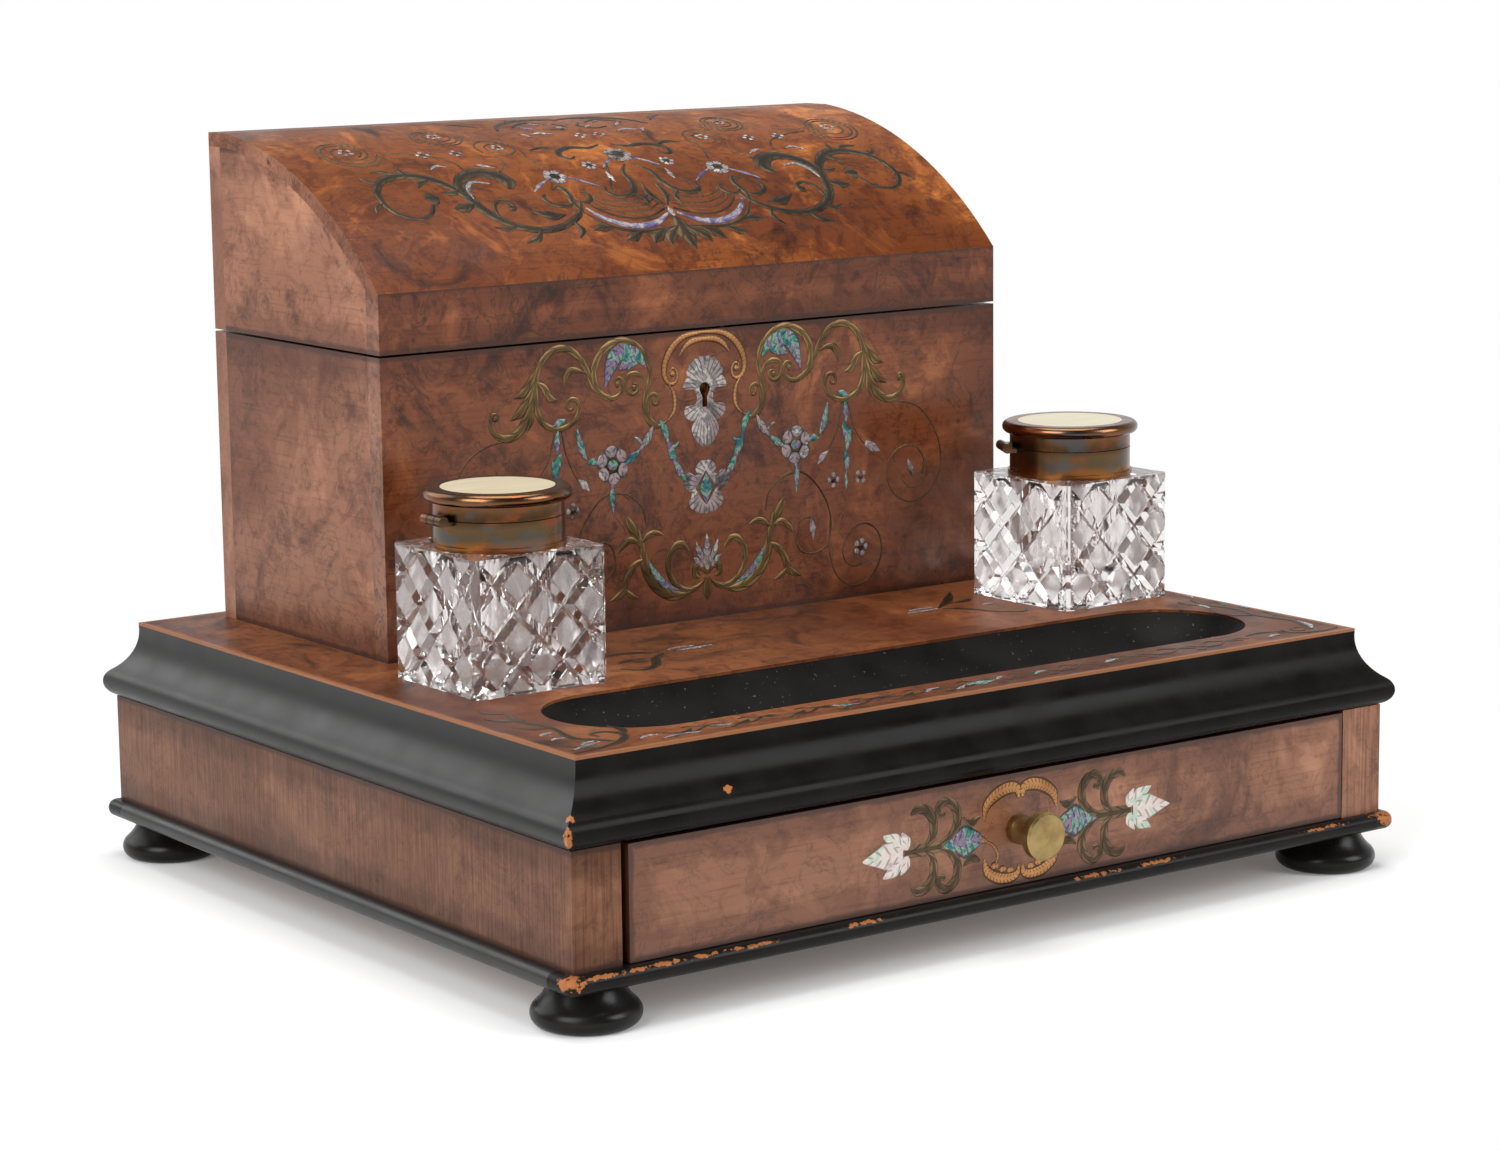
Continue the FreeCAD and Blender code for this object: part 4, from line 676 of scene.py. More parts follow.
def engraving(tree, border, veins):
    """1 on the engraved lines: a border near both edges, and slanted veins that start from the middle line."""
    side, along = across_and_along(tree)
    rim = between(side, border, border + BORDER_EASE)
    line = between((along * veins - side * VEIN_SLANT).math("PINGPONG", 0.5), 0.30, 0.44)
    return rim.math("MAXIMUM", line * between(side, 0.08, 0.26) * VEIN_SHARE)


print("engraving ready")


# %% Engraved sheet metal and shell
def inlaid_metal(name, bright, dark, border=0.56, veins=4.0, core=0.0):
    """Thin sheet metal, unevenly tarnished and engraved. Its middle may be darker, so that the edges stand out."""
    material, place = start_finish("inlaid_" + name)
    patches = noise(place, 70.0, 5.0, 0.6)
    colour = shades(patches, (0.34, dark), (0.64, bright))
    middle = between(across_and_along(place.tree)[0], 0.46, 0.22)
    colour = lay_over(colour, middle * core, dark)
    lines = engraving(place.tree, border, veins)
    colour = lay_over(colour, lines * INKED, INK)
    raised = put(place.tree, "Math", {0: 1.0, 1: lines}, operation="SUBTRACT")
    feeds = {"Base Color": colour, "Roughness": spread(patches, 0.30, 0.50), "Metallic": 0.85}
    return end_finish(material, feeds, raised, 0.0001, 0.5)


def inlaid_shell(name, stops, scale, border=0.66, veins=4.0, inked=INKED):
    """Shell: bands of colour that wander through the thickness of the shell, with engraved lines on top."""
    material, place = start_finish("inlaid_" + name)
    wander = put(place.tree, "TexNoise", {"Vector": place, "Scale": 60.0, "Detail": 2.0}, "Color")
    layers = noise(vector("MULTIPLY_ADD", wander, (0.02, 0.02, 0.02), place), scale, 4.0, 0.6)
    colour = lay_over(shades(layers, *stops), engraving(place.tree, border, veins) * inked, SHELL_INK)
    feeds = {"Base Color": colour, "Roughness": spread(layers, 0.16, 0.30)}
    feeds.update({"Specular IOR Level": SHELL_SHINE, "Coat Weight": SHELL_COAT})
    return end_finish(material, feeds, layers, 0.0001, 0.25)


print("sheet metal and shell ready")

# %% Colours of the inlay
ABALONE = [
    (0.28, (0.02, 0.03, 0.10)), (0.37, (0.02, 0.12, 0.15)), (0.44, (0.06, 0.24, 0.16)), (0.50, (0.26, 0.31, 0.26)),
    (0.55, (0.09, 0.08, 0.20)), (0.61, (0.26, 0.15, 0.20)), (0.67, (0.03, 0.18, 0.14)), (0.74, (0.22, 0.24, 0.20)),
]
PEARL = [
    (0.32, (0.04, 0.04, 0.04)), (0.41, (0.14, 0.125, 0.12)), (0.46, (0.31, 0.27, 0.25)), (0.51, (0.30, 0.20, 0.225)),
    (0.56, (0.14, 0.16, 0.15)), (0.61, (0.54, 0.48, 0.44)), (0.70, (0.20, 0.18, 0.175)),
]
PALE_PEARL = [
    (0.30, (0.26, 0.22, 0.21)), (0.42, (0.56, 0.44, 0.43)), (0.52, (0.62, 0.56, 0.50)), (0.62, (0.38, 0.48, 0.38)),
    (0.72, (0.64, 0.58, 0.52)),
]
VIOLET = [
    (0.32, (0.04, 0.03, 0.10)), (0.42, (0.10, 0.08, 0.21)), (0.49, (0.19, 0.16, 0.22)), (0.56, (0.36, 0.31, 0.28)),
    (0.63, (0.13, 0.10, 0.22)), (0.74, (0.08, 0.14, 0.15)),
]
metal_inlays = {
    "brass": inlaid_metal("brass", (0.330, 0.215, 0.088), (0.095, 0.058, 0.026), 0.74, 1.5, 0.8),
    "dark_brass": inlaid_metal("dark_brass", (0.130, 0.088, 0.044), (0.022, 0.016, 0.011), 0.78, 2.0, 0.8),
    "bronze": inlaid_metal("bronze", (0.215, 0.145, 0.082), (0.060, 0.040, 0.025), 0.76, 2.0, 0.8),
    "copper": inlaid_metal("copper", (0.54, 0.27, 0.105), (0.33, 0.15, 0.058), veins=7.0),
    "wire": inlaid_metal("wire", (0.16, 0.10, 0.05), (0.045, 0.028, 0.016), border=0.98),
}
shell_inlays = {
    "abalone": inlaid_shell("abalone", ABALONE, 190.0),
    "pearl": inlaid_shell("pearl", PEARL, 105.0),
    "pale_pearl": inlaid_shell("pale_pearl", PALE_PEARL, 110.0, border=0.80, veins=3.0, inked=0.6),
    "violet": inlaid_shell("violet_shell", VIOLET, 120.0, veins=2.0, inked=0.7),
}
inlays = {**metal_inlays, **shell_inlays}
print("inlay finishes:", sorted(inlays))

# %% [markdown]
# ## How the inlay is laid
# A scroll, a leaf, a petal and a dot are all the same thing: a ribbon along a line, with a width that changes along
# the way. So one function makes a ribbon from a few points and widths, and another carries it from the flat drawing
# onto a panel, whether that is the flat front or the round lid. The middle of a ribbon stands a hair above the wood.

# %% Ribbons
LIFT = 0.16
SINK = 0.05
ACROSS = np.array([-1.0, -0.55, 0.0, 0.55, 1.0])
DENSE = 40
ROWS_EACH, FEWEST_ROWS, MOST_ROWS = 4, 10, 80


def smooth_line(points, count):
    """Evenly spaced points on a smooth line through the given ones.

    Between two points it is a cubic whose slope at each end is half the step between that end's neighbours."""
    p = np.asarray(points, float)
    p = np.vstack([2 * p[0] - p[1], p, 2 * p[-1] - p[-2]])
    t = np.linspace(0.0, 1.0, DENSE, endpoint=False)[None, :, None]
    a, b, c, d = (p[k:len(p) - 3 + k, None, :] for k in range(4))
    line = b + 0.5 * t * (c - a + t * (2 * a - 5 * b + 4 * c - d + t * (3 * (b - c) + d - a)))
    line = np.vstack([line.reshape(-1, p.shape[1]), p[-2]])
    length = np.concatenate([[0.0], np.cumsum(np.linalg.norm(np.diff(line[:, :2], axis=0), axis=1))])
    even = np.linspace(0.0, length[-1], count)
    share = np.interp(even, length, np.linspace(0.0, 1.0, len(line)))
    return np.column_stack([np.interp(even, length, column) for column in line.T]), even, share


def ribbon(points, widths):
    """A ribbon as grids of flat place, height and UV: the line, plus half the width to each side of it."""
    count = int(np.clip(ROWS_EACH * len(points), FEWEST_ROWS, MOST_ROWS))
    line, even, share = smooth_line(points, count)
    slope = np.gradient(line, axis=0)
    slope /= np.maximum(np.linalg.norm(slope, axis=1, keepdims=True), 1e-9)
    normal = np.column_stack([-slope[:, 1], slope[:, 0]])
    widths = np.atleast_1d(np.asarray(widths, float))
    half = np.interp(share, np.linspace(0.0, 1.0, len(widths)), widths)[:, None] / 2
    flat = line[:, None, :] + (half * ACROSS)[..., None] * normal[:, None, :]
    height = np.broadcast_to(LIFT * (1 - ACROSS ** 4) - SINK * ACROSS ** 4, flat.shape[:2])
    uv = np.stack(np.broadcast_arrays(even[:, None] / 10.0, (ACROSS + 1) / 2), -1)
    return flat, height, uv


print("ribbon of a straight line:", ribbon([(0, 0), (10, 0)], 1.0)[0].shape)

# %% [markdown]
# ## Drawings as rows of numbers
# A drawing is written as rows of numbers in mm, so that a whole leaf takes one short row. Most rows give across, up
# and width for each point. Leaves that share their widths, dots, flowers and coils have still shorter rows.

# %% Rows of numbers into ribbons
PETAL_PLACES = (0.42, 0.64, 0.86, 1.0)
PETAL_WIDTHS = np.array([0.55, 1.0, 1.05, 0.25])
DOT_STEPS = np.linspace(-0.98, 0.98, 7)


def drawn(*rows):
    """Ribbons from rows of across, up and width for each point in turn."""
    return [(points[:, :2], points[:, 2]) for points in (np.reshape(row, (-1, 3)) for row in rows)]


def alike(widths, *rows):
    """Ribbons that share one width or one run of widths: a row gives only across and up for each point."""
    return [(np.reshape(row, (-1, 2)), widths) for row in rows]


def dots(*rows):
    """Round dots from rows of across, up and radius: short ribbons whose width follows a circle."""
    circle = 2 * np.sqrt(1 - DOT_STEPS ** 2)
    return [(np.column_stack([x + DOT_STEPS * radius, 0 * DOT_STEPS + y]), radius * circle) for x, y, radius in rows]


def flowers(*rows):
    """Petals set evenly round points: a row gives place, radius, the petals' number and width, and a turn."""
    strips = []
    for x, y, radius, count, width, turn in rows:
        turns = turn + np.arange(count) * 2 * math.pi / count
        rays = radius * np.column_stack([np.cos(turns), np.sin(turns)])
        strips += [((x, y) + np.outer(PETAL_PLACES, ray), width * PETAL_WIDTHS) for ray in rays]
    return strips


def coils(*rows):
    """Spirals that draw in evenly: a row gives the place, outer and inner radius, start, turns and width."""
    strips = []
    for x, y, outer, inner, start, turns, width in rows:
        share = np.linspace(0.0, 1.0, int(10 * turns))
        angle = start + share * turns * 2 * math.pi
        radius = outer + (inner - outer) * share
        strips.append((np.column_stack([x + radius * np.cos(angle), y + radius * np.sin(angle)]), width))
    return strips


def mirrored(strips):
    """The strips and their mirror images left of the middle line."""
    return strips + [(np.asarray(points) * (-1, 1), widths) for points, widths in strips]


print("a flower of six petals:", len(flowers((0, 0, 4, 6, 2, 0))), "ribbons")

# %% Ribbons onto a panel
RISE = {"wire": 0.0, "brass": 0.02, "dark_brass": 0.02, "bronze": 0.02, "copper": 0.04,
        "abalone": 0.06, "violet": 0.06, "pearl": 0.08, "pale_pearl": 0.08}


def with_uv(piece, faces, uvs):
    """Gives a piece its UV from one pair of numbers for each point."""
    layer = piece.data.uv_layers.new(name="ribbon")
    layer.data.foreach_set("uv", uvs[faces.ravel()].astype(np.float32).ravel())
    piece.data.shade_smooth()


def lay_inlay(name, strips, panel, body, finish, bolder=1.0):
    """Carries ribbons from the flat drawing onto a panel and joins them into one piece."""
    points, faces, uvs = [], [], []
    start = 0
    for line, widths in strips:
        flat, height, uv = ribbon(line, np.asarray(widths) * bolder)
        index = start + np.arange(height.size).reshape(height.shape)
        quads = np.stack([index[:-1, :-1], index[1:, :-1], index[1:, 1:], index[:-1, 1:]], -1)
        points.append(panel(flat[..., 0], flat[..., 1], height + RISE[finish] * (height > 0)).reshape(-1, 3))
        uvs.append(uv.reshape(-1, 2))
        faces.append(quads.reshape(-1, 4))
        start += height.size
    points, faces, uvs = np.concatenate(points) * MM, np.concatenate(faces), np.concatenate(uvs)
    slot = "pearl_shell" if finish in shell_inlays else "dull_brass"
    piece = new_piece(name, points, (faces,), inlays[finish], body)
    with_uv(piece, faces, uvs)
    print(name, "ribbons:", len(strips), "faces:", len(faces))


print("finishes by rise:", sorted(RISE, key=RISE.get))

# %% [markdown]
# ## The box front
# The drawing is the same left and right of the keyhole, so only the right half is written down, in mm from the
# middle and from the floor: an arched copper frame, brass scrolls with green-blue shell, garlands with a rosette,
# a shield, drops of leaves, wire coils, and brass leaves below a white flower.

# %% Metal on the box front
front_eyes = dots((40, 146.6, 3.4), (57, 132.6, 1.1), (69.6, 132.6, 1.1), (69.4, 107.6, 1.3))
front_copper = drawn(
    (0, 188.6, 1.2, 7, 188, 1.8, 11.5, 186.2, 2.4, 15, 183, 2.8, 17.2, 178.8, 2.6, 17.3, 174.8, 2, 15.4, 172.2, 1.5,
     12.8, 172.3, 1.3, 11.8, 174.8, 1.1, 12.8, 177, 1, 14.6, 177, 0.9, 15, 175.4, 0.8),
    (0, 186.3, 1.6, 5, 185.8, 2.2, 8.5, 184, 2, 10.8, 181.2, 0.3),
    (15.5, 171.8, 0.5, 13.8, 169.5, 1.4, 13, 166, 1.8, 13.6, 162.5, 1.4, 16, 159.8, 0.5)
) + dots((13.9, 175.3, 1))
front_brass = alike(
    (0.6, 1.5, 1.6, 1.6, 1.5, 1.6, 2, 2.2, 2.2, 2.1, 1.8, 1.4, 1.2, 1, 0.8),
    (16.5, 159.6, 20, 158, 23.5, 159.3, 25.5, 162.5, 26, 166.5, 25, 170.5, 23.7, 175, 24, 179.5, 26.2, 183.6, 30,
     186.6, 35, 188, 40, 187.2, 44, 184.8, 46.6, 181, 47.2, 176.5, 45.8, 172.5, 42.5, 169.8, 38.8, 169.2, 35.8,
     170.8, 34.6, 173.4, 36, 175.6, 38.4, 175.3, 38.8, 173.6)
) + alike(
    (0.5, 1.4, 1.8, 2, 2, 2, 1.9, 1.8, 1.8, 1.6, 1.5, 1.4, 1.2, 1, 0.7),
    (40, 169.2, 44, 170, 47.3, 173.4, 49.5, 178.3, 52.5, 183, 56.5, 186.3, 61.5, 187.4, 66.4, 185.6, 69.8, 181.6,
     71.3, 177, 71.4, 172, 71, 168, 69.6, 164.4, 66.6, 161.8, 62.6, 160.6, 58.4, 161.2, 55.2, 163.4, 53.4, 166.6,
     54.4, 169.6, 57, 170.2, 58.6, 168.2, 57.4, 166.4, 55.9, 167.4)
) + alike(
    (1, 1.8, 0.3), (36, 104, 33, 101.4, 30, 100.2), (36.4, 104, 39, 101.6, 42, 100.4)
) + drawn(
    (24.2, 170.5, 0.5, 25.8, 174, 1.2, 28.5, 176.5, 1.5, 31.8, 176.6, 1.4, 34, 174.4, 1.3, 33.6, 171.4, 1.2, 31,
     169.8, 1.1, 28.6, 171, 1, 28.8, 173, 0.9, 30.6, 173.2, 0.8),
    (20.5, 158.2, 1.2, 24, 161, 1.6, 25, 164.5, 1.5, 24.3, 167.8, 1.4, 22.3, 169.3, 1.2, 20.3, 168.2, 1.1, 20.2,
     166, 1, 21.8, 165.6, 0.9, 22.6, 167, 0.7),
    (51, 178.6, 0.5, 55, 179.8, 1.6, 58.2, 178.8, 2.4, 59.6, 174.4, 0.3),
    (71.2, 177, 0.5, 68, 175, 2, 65.4, 171.2, 2.4, 62.4, 170.2, 0.3),
    (71, 181, 0.5, 73.4, 177.4, 2, 76.6, 173.6, 2.6, 80.4, 172.2, 0.3),
    (72, 176, 0.5, 74.6, 171.4, 2.2, 78, 167.2, 2.8, 82, 165, 0.3),
    (71.6, 176, 0.5, 73, 169.6, 2.2, 75.4, 164.4, 3, 79.4, 160.4, 2.6, 84, 159.2, 2.2, 88, 161, 1.8, 90, 164.6, 1.5,
     89, 167.6, 1.2, 87.2, 167.2, 1, 87, 165.2, 0.7), (73, 169, 0.5, 73.6, 164.5, 2.4, 75.4, 160.4, 0.3),
    (0, 106, 1.4, 2.6, 108.6, 2.4, 5, 108, 2.2, 5.4, 105.6, 1.8, 3.4, 104.4, 0.6),
    (1.4, 103.4, 0.6, 5, 101, 1.6, 9.6, 100.8, 1.8, 14, 103.4, 1.8, 16.8, 108, 1.8, 16.6, 113, 1.8, 13.6, 116.6, 2,
     10, 116.4, 2.2, 7.8, 113.8, 0.4),
    (4, 101.6, 0.5, 10, 99.4, 1.8, 16, 99.8, 3.2, 22, 103.4, 3.6, 26, 109, 3.4, 27.6, 115, 2.6, 28.4, 120, 1),
    (28.2, 117, 1, 30.4, 122, 3.4, 33.4, 126.4, 2.4, 34.4, 128.6, 0.3),
    (28, 119.4, 0.8, 25, 121.4, 1.8, 21.6, 121.8, 1.6, 18.6, 120.6, 0.3),
    (29, 119, 0.8, 33, 120.4, 2, 36.4, 118.6, 1.8, 38.4, 116.2, 0.3),
    (27, 113.4, 0.5, 31, 111.8, 2, 34.4, 108, 2.2, 36, 103.4, 2.2, 37.6, 101, 0.6),
    (0, 104, 2, 0.6, 100, 2.4, 0.2, 96.5, 0.3)
) + dots((37.4, 173.6, 0.9), (30.3, 172, 0.9), (88, 166.2, 0.9))
front_wire = alike(
    0.5,
    (83, 158.6, 91, 157.4, 98, 154.4, 104, 147.5, 107, 140, 107, 132, 102.4, 124.6, 93.4, 121.6, 85.4, 125, 82, 132,
     84.4, 139, 91, 142, 97.4, 139.6, 100, 133.2, 97.6, 127.8, 93, 126.6, 89, 130),
    (26, 125, 28, 131.4, 34, 136, 40.5, 137.2, 47, 134, 53.5, 126, 56, 117.4, 54, 110.4, 48, 107.6, 42, 109.2, 39.6,
     114, 41.2, 119, 45.2, 120.8, 48.6, 118.6),
    (55.5, 119, 55, 108, 58.5, 98.5, 66, 94.2, 74, 96.5, 79, 104, 77.5, 112.5, 70.5, 116, 63.5, 113, 61, 106.5,
     64.5, 101.6, 70, 101.4)
) + alike(
    0.4, (61, 159.6, 59.6, 152.6, 57, 146.6, 54.4, 142.6), (64, 159.6, 66.6, 151, 70.4, 145.2, 73.4, 143.4)
) + drawn((40, 137, 0.8, 36, 136.4, 0.6, 33, 134, 0.3))
print("metal ribbons in half the front:", len(front_eyes + front_copper + front_brass + front_wire))

# %% Shell on the box front
front_abalone = alike(
    (0.6, 3, 0.6), (20, 160.4, 17.6, 156.8, 16, 151.6), (14, 147, 11.4, 142, 8.6, 138.4),
    (65.2, 150, 64, 146.4, 63.2, 142.4)
) + alike(
    (0.8, 2.8, 0.8), (28.6, 150.6, 31.6, 148.4, 34.4, 146.8), (59.4, 163.6, 62, 162.6, 64.6, 161.8)
) + alike(
    (0.8, 2.6, 0.6), (45.4, 147.2, 48, 148.4, 50.6, 148), (62.6, 160, 63, 156, 63, 152.4)
) + drawn(
    (25.4, 178.6, 0.5, 28.4, 182.4, 4, 33, 184.6, 5.5, 37.6, 183.6, 6, 40, 180, 5, 42.6, 173, 0.6),
    (29, 180, 1, 33, 180.4, 5, 36.4, 178.6, 1), (16.6, 153, 0.6, 14.6, 148.4, 3.4, 12.4, 143.4, 0.6),
    (15.6, 150.4, 1, 13.4, 150.6, 1.4, 11.6, 152, 0.3), (51, 149.4, 0.6, 53, 153.6, 3.2, 54.6, 160, 0.6),
    (40, 141, 0.8, 40.4, 136, 2.4, 40, 130, 0.4), (61.4, 152.6, 0.8, 63.2, 148.8, 3.6, 64, 145, 0.8),
    (62.4, 142.6, 0.6, 63.4, 139, 2.8, 63, 134.6, 0.6), (62.6, 134.4, 0.5, 63, 131.6, 1.6, 62.8, 129, 0.3),
    (12.4, 101, 0.4, 18, 103.4, 2.6, 22.6, 107.8, 2.6, 25.4, 112.4, 0.4)
) + dots((40, 146.6, 2.2))
front_pearl = drawn(
    (22.6, 158.4, 0.6, 25, 154.2, 4, 28.6, 150.4, 0.6), (27.6, 153, 1.5, 29.2, 154.6, 1.4, 30.6, 155.2, 0.3),
    (54.6, 143, 0.6, 52, 141, 3.4, 50, 138.8, 0.4), (71.8, 144.6, 2.6, 75.4, 142.6, 4, 78.6, 141, 0.4),
    (91.6, 137, 0.5, 93, 133.6, 3, 94.2, 130.6, 0.6), (46.6, 120, 1.4, 47.4, 116.4, 3.4, 47.6, 112.4, 0.4),
    (1, 109, 1.4, 3.4, 113.4, 3, 4.8, 117, 0.4), (2, 108, 1.4, 4.4, 110.4, 2.4, 6, 111.6, 0.4)
) + flowers(
    (40, 146.6, 6.6, 6, 5.6, 0.4), (57, 132.6, 2.7, 4, 2.2, 0), (69.6, 132.6, 2.7, 4, 2.2, 0.7),
    (69.4, 107.6, 3.2, 5, 2.4, 0)
)
front_middle = drawn((0, 107, 2, 0, 113.6, 4, 0, 119.4, 0.4))
print("shell ribbons in half the front:", len(front_abalone + front_pearl))

# %% Inlay on the box front
box_low, box_high = (np.array(corner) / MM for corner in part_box("box_front"))
DRAWN_LOW = 90.0
TALLER = (box_high[2] - box_low[2]) / (box_high[2] - DRAWN_LOW)


def on_front(x, z, lift):
    """Flat drawing to the box front: the drawing's height is stretched a little to fill the panel."""
    return np.stack([x, box_low[1] - lift, box_high[2] - (box_high[2] - z) * TALLER], -1)


lay_inlay("front_flower_eyes", mirrored(front_eyes), on_front, "base", "dark_brass")
lay_inlay("front_copper_frame", mirrored(front_copper), on_front, "base", "copper", 1.2)
lay_inlay("front_brass_scrolls", mirrored(front_brass), on_front, "base", "brass", 1.45)
lay_inlay("front_wire_coils", mirrored(front_wire), on_front, "base", "wire", 1.4)
lay_inlay("front_green_shell", mirrored(front_abalone), on_front, "base", "abalone", 1.25)
lay_inlay("front_white_shell", mirrored(front_pearl) + front_middle, on_front, "base", "pearl", 1.1)

# %% [markdown]
# ## The keyhole plate and the shield
# These two pieces of white shell have a lobed outline and an opening: the keyhole in one and a diamond in the other.
# Their surface is ruled: each point of the outline has a partner on the opening, and straight lines join the pairs.
# That also lets the engraved ribs fan out from the opening by themselves. Under the keyhole plate lies a thin ground
# of the front's own walnut, so wood shows in the gaps of its outline.

# %% Drawing of the plates
# Each row is a point of the outline, across and up, and then its partner on the opening.
key_plate = [
    (0, 11.8, 0, 2.25), (2.2, 12, 0.5, 2.2), (3, 11.2, 0.7, 2.13), (4.6, 11.2, 1, 2), (5.4, 10, 1.2, 1.9),
    (6.8, 9.4, 1.45, 1.72), (7.2, 7.8, 1.6, 1.58), (8.2, 6.6, 1.8, 1.35), (7.6, 5, 1.92, 1.17), (6.4, 4.5, 2, 1.03),
    (8.2, 4.2, 2.05, 0.93), (9.2, 2.6, 2.15, 0.66), (10, 0.6, 2.24, 0.2), (8.6, 0.2, 2.25, 0),
    (6.4, 0.8, 2.24, -0.2), (4.6, -0.4, 2.05, -0.93), (3.6, -3, 1.05, -3), (4.4, -5.6, 1.05, -4.2),
    (6.6, -6.6, 1.05, -4.7), (8.4, -5.8, 1.05, -5), (9.2, -7.4, 1.05, -5.4), (8.8, -9.6, 1.05, -5.9),
    (7, -11.2, 1.05, -6.4), (4.8, -11.8, 0.9, -6.6), (5.6, -12.8, 0.75, -6.6), (6.2, -14.6, 0.6, -6.6),
    (5.4, -17, 0.45, -6.6), (3.6, -19.6, 0.3, -6.6), (1.4, -21.2, 0.15, -6.6), (0, -21, 0, -6.6),
]
shield = [
    (0, 144.8, 0, 141), (1.8, 144.9, 0.3, 140.6), (3.6, 143.8, 0.6, 140.2), (4.6, 142, 1, 139.7),
    (3.8, 140.4, 1.5, 139), (5.2, 139.8, 2, 138.4), (6.8, 141, 2.5, 137.7), (8.6, 141, 3, 137),
    (9.2, 139.4, 3.5, 136.4), (10.2, 138.2, 4, 135.8), (9.6, 136.2, 4.4, 135.2), (8, 134.8, 4.1, 134.6),
    (6.4, 134.2, 3.6, 134), (6.6, 132.6, 3, 133.2), (7.6, 131, 2.6, 132.7), (7, 128.8, 2, 131.9),
    (5.4, 127.8, 1.5, 131.3), (3.6, 126.6, 1, 130.7), (1.6, 126.4, 0.5, 130.1), (0, 126.2, 0, 129.5),
]
key_ground = [
    (0, 9.4, 0, 2.3), (5, 9.2, 1.5, 1.75), (8.5, 6.8, 2.1, 0.95), (9.7, 3, 2.3, 0), (9.7, -10, 1.1, -4),
    (8.5, -14.2, 1.1, -6.2), (5, -17, 0.7, -6.65), (0, -17.4, 0, -6.65),
]
print("points in half the keyhole plate:", len(key_plate))

# %% Keyhole plate and shield
KEYHOLE_HEIGHT = 168.4
GROUND_LIFT = 0.03
PLATE_LIFT = LIFT + RISE["pearl"]
PLATE_BORDER = 0.37
PLATE_ROWS = 90
RULES = np.linspace(0.0, 1.0, 7)


def lay_plate(name, half, panel, finish, lift):
    """A ruled ring: half an outline and its partners on the opening, mirrored to a loop, with lines between them."""
    line, even, share = smooth_line(half, PLATE_ROWS)
    back_up = (line * (-1, 1, -1, 1))[-2:0:-1]
    loop = np.vstack([line, back_up])
    flat = loop[:, None, 2:] * (1 - RULES)[None, :, None] + loop[:, None, :2] * RULES[None, :, None]
    bulge = (2 * RULES - 1) ** 4
    height = np.broadcast_to(lift * (1 - bulge) - SINK * bulge, flat.shape[:2])
    index = np.arange(height.size).reshape(height.shape)
    ahead = np.roll(index, -1, 0)
    faces = np.stack([index[:, :-1], ahead[:, :-1], ahead[:, 1:], index[:, 1:]], -1).reshape(-1, 4)
    along = np.concatenate([even, even[-2:0:-1]])[:, None] / 10.0
    uvs = np.stack(np.broadcast_arrays(along, 0.5 + PLATE_BORDER * RULES), -1).reshape(-1, 2)
    points = panel(flat[..., 0], flat[..., 1], height).reshape(-1, 3) * MM
    piece = new_piece(name, points, (faces,), finish, "base")
    with_uv(piece, faces, uvs)
    print(name, "faces:", len(faces))
    return piece


def on_keyhole(x, z, lift):
    """The box front, with heights counted from the round of the keyhole."""
    return np.stack([x, box_low[1] - lift, KEYHOLE_HEIGHT + z], -1)


plate = lay_plate("keyhole_shell_plate", key_plate, on_keyhole, inlays["pearl"], PLATE_LIFT)
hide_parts("keyhole_escutcheon")
lay_plate("keyhole_ground", key_ground, on_keyhole, finishes["box_front"], GROUND_LIFT)
lay_plate("front_shield", shield, on_front, inlays["pearl"], PLATE_LIFT)
diamond = drawn((0, 129.8, 0.3, 0, 135.2, 7.6, 0, 140.7, 0.3))
lay_inlay("front_shield_diamond", diamond, on_front, "base", "abalone")

# %% [markdown]
# ## The dome
# The lid's ornament is bigger and darker: brass arms that curl outwards from an arch of leaves, violet shell in the
# arch, a rosette, florets and thin vines. It is drawn flat, with the second number measured along the bend from the
# front arris, and then bent over the dome's arc.

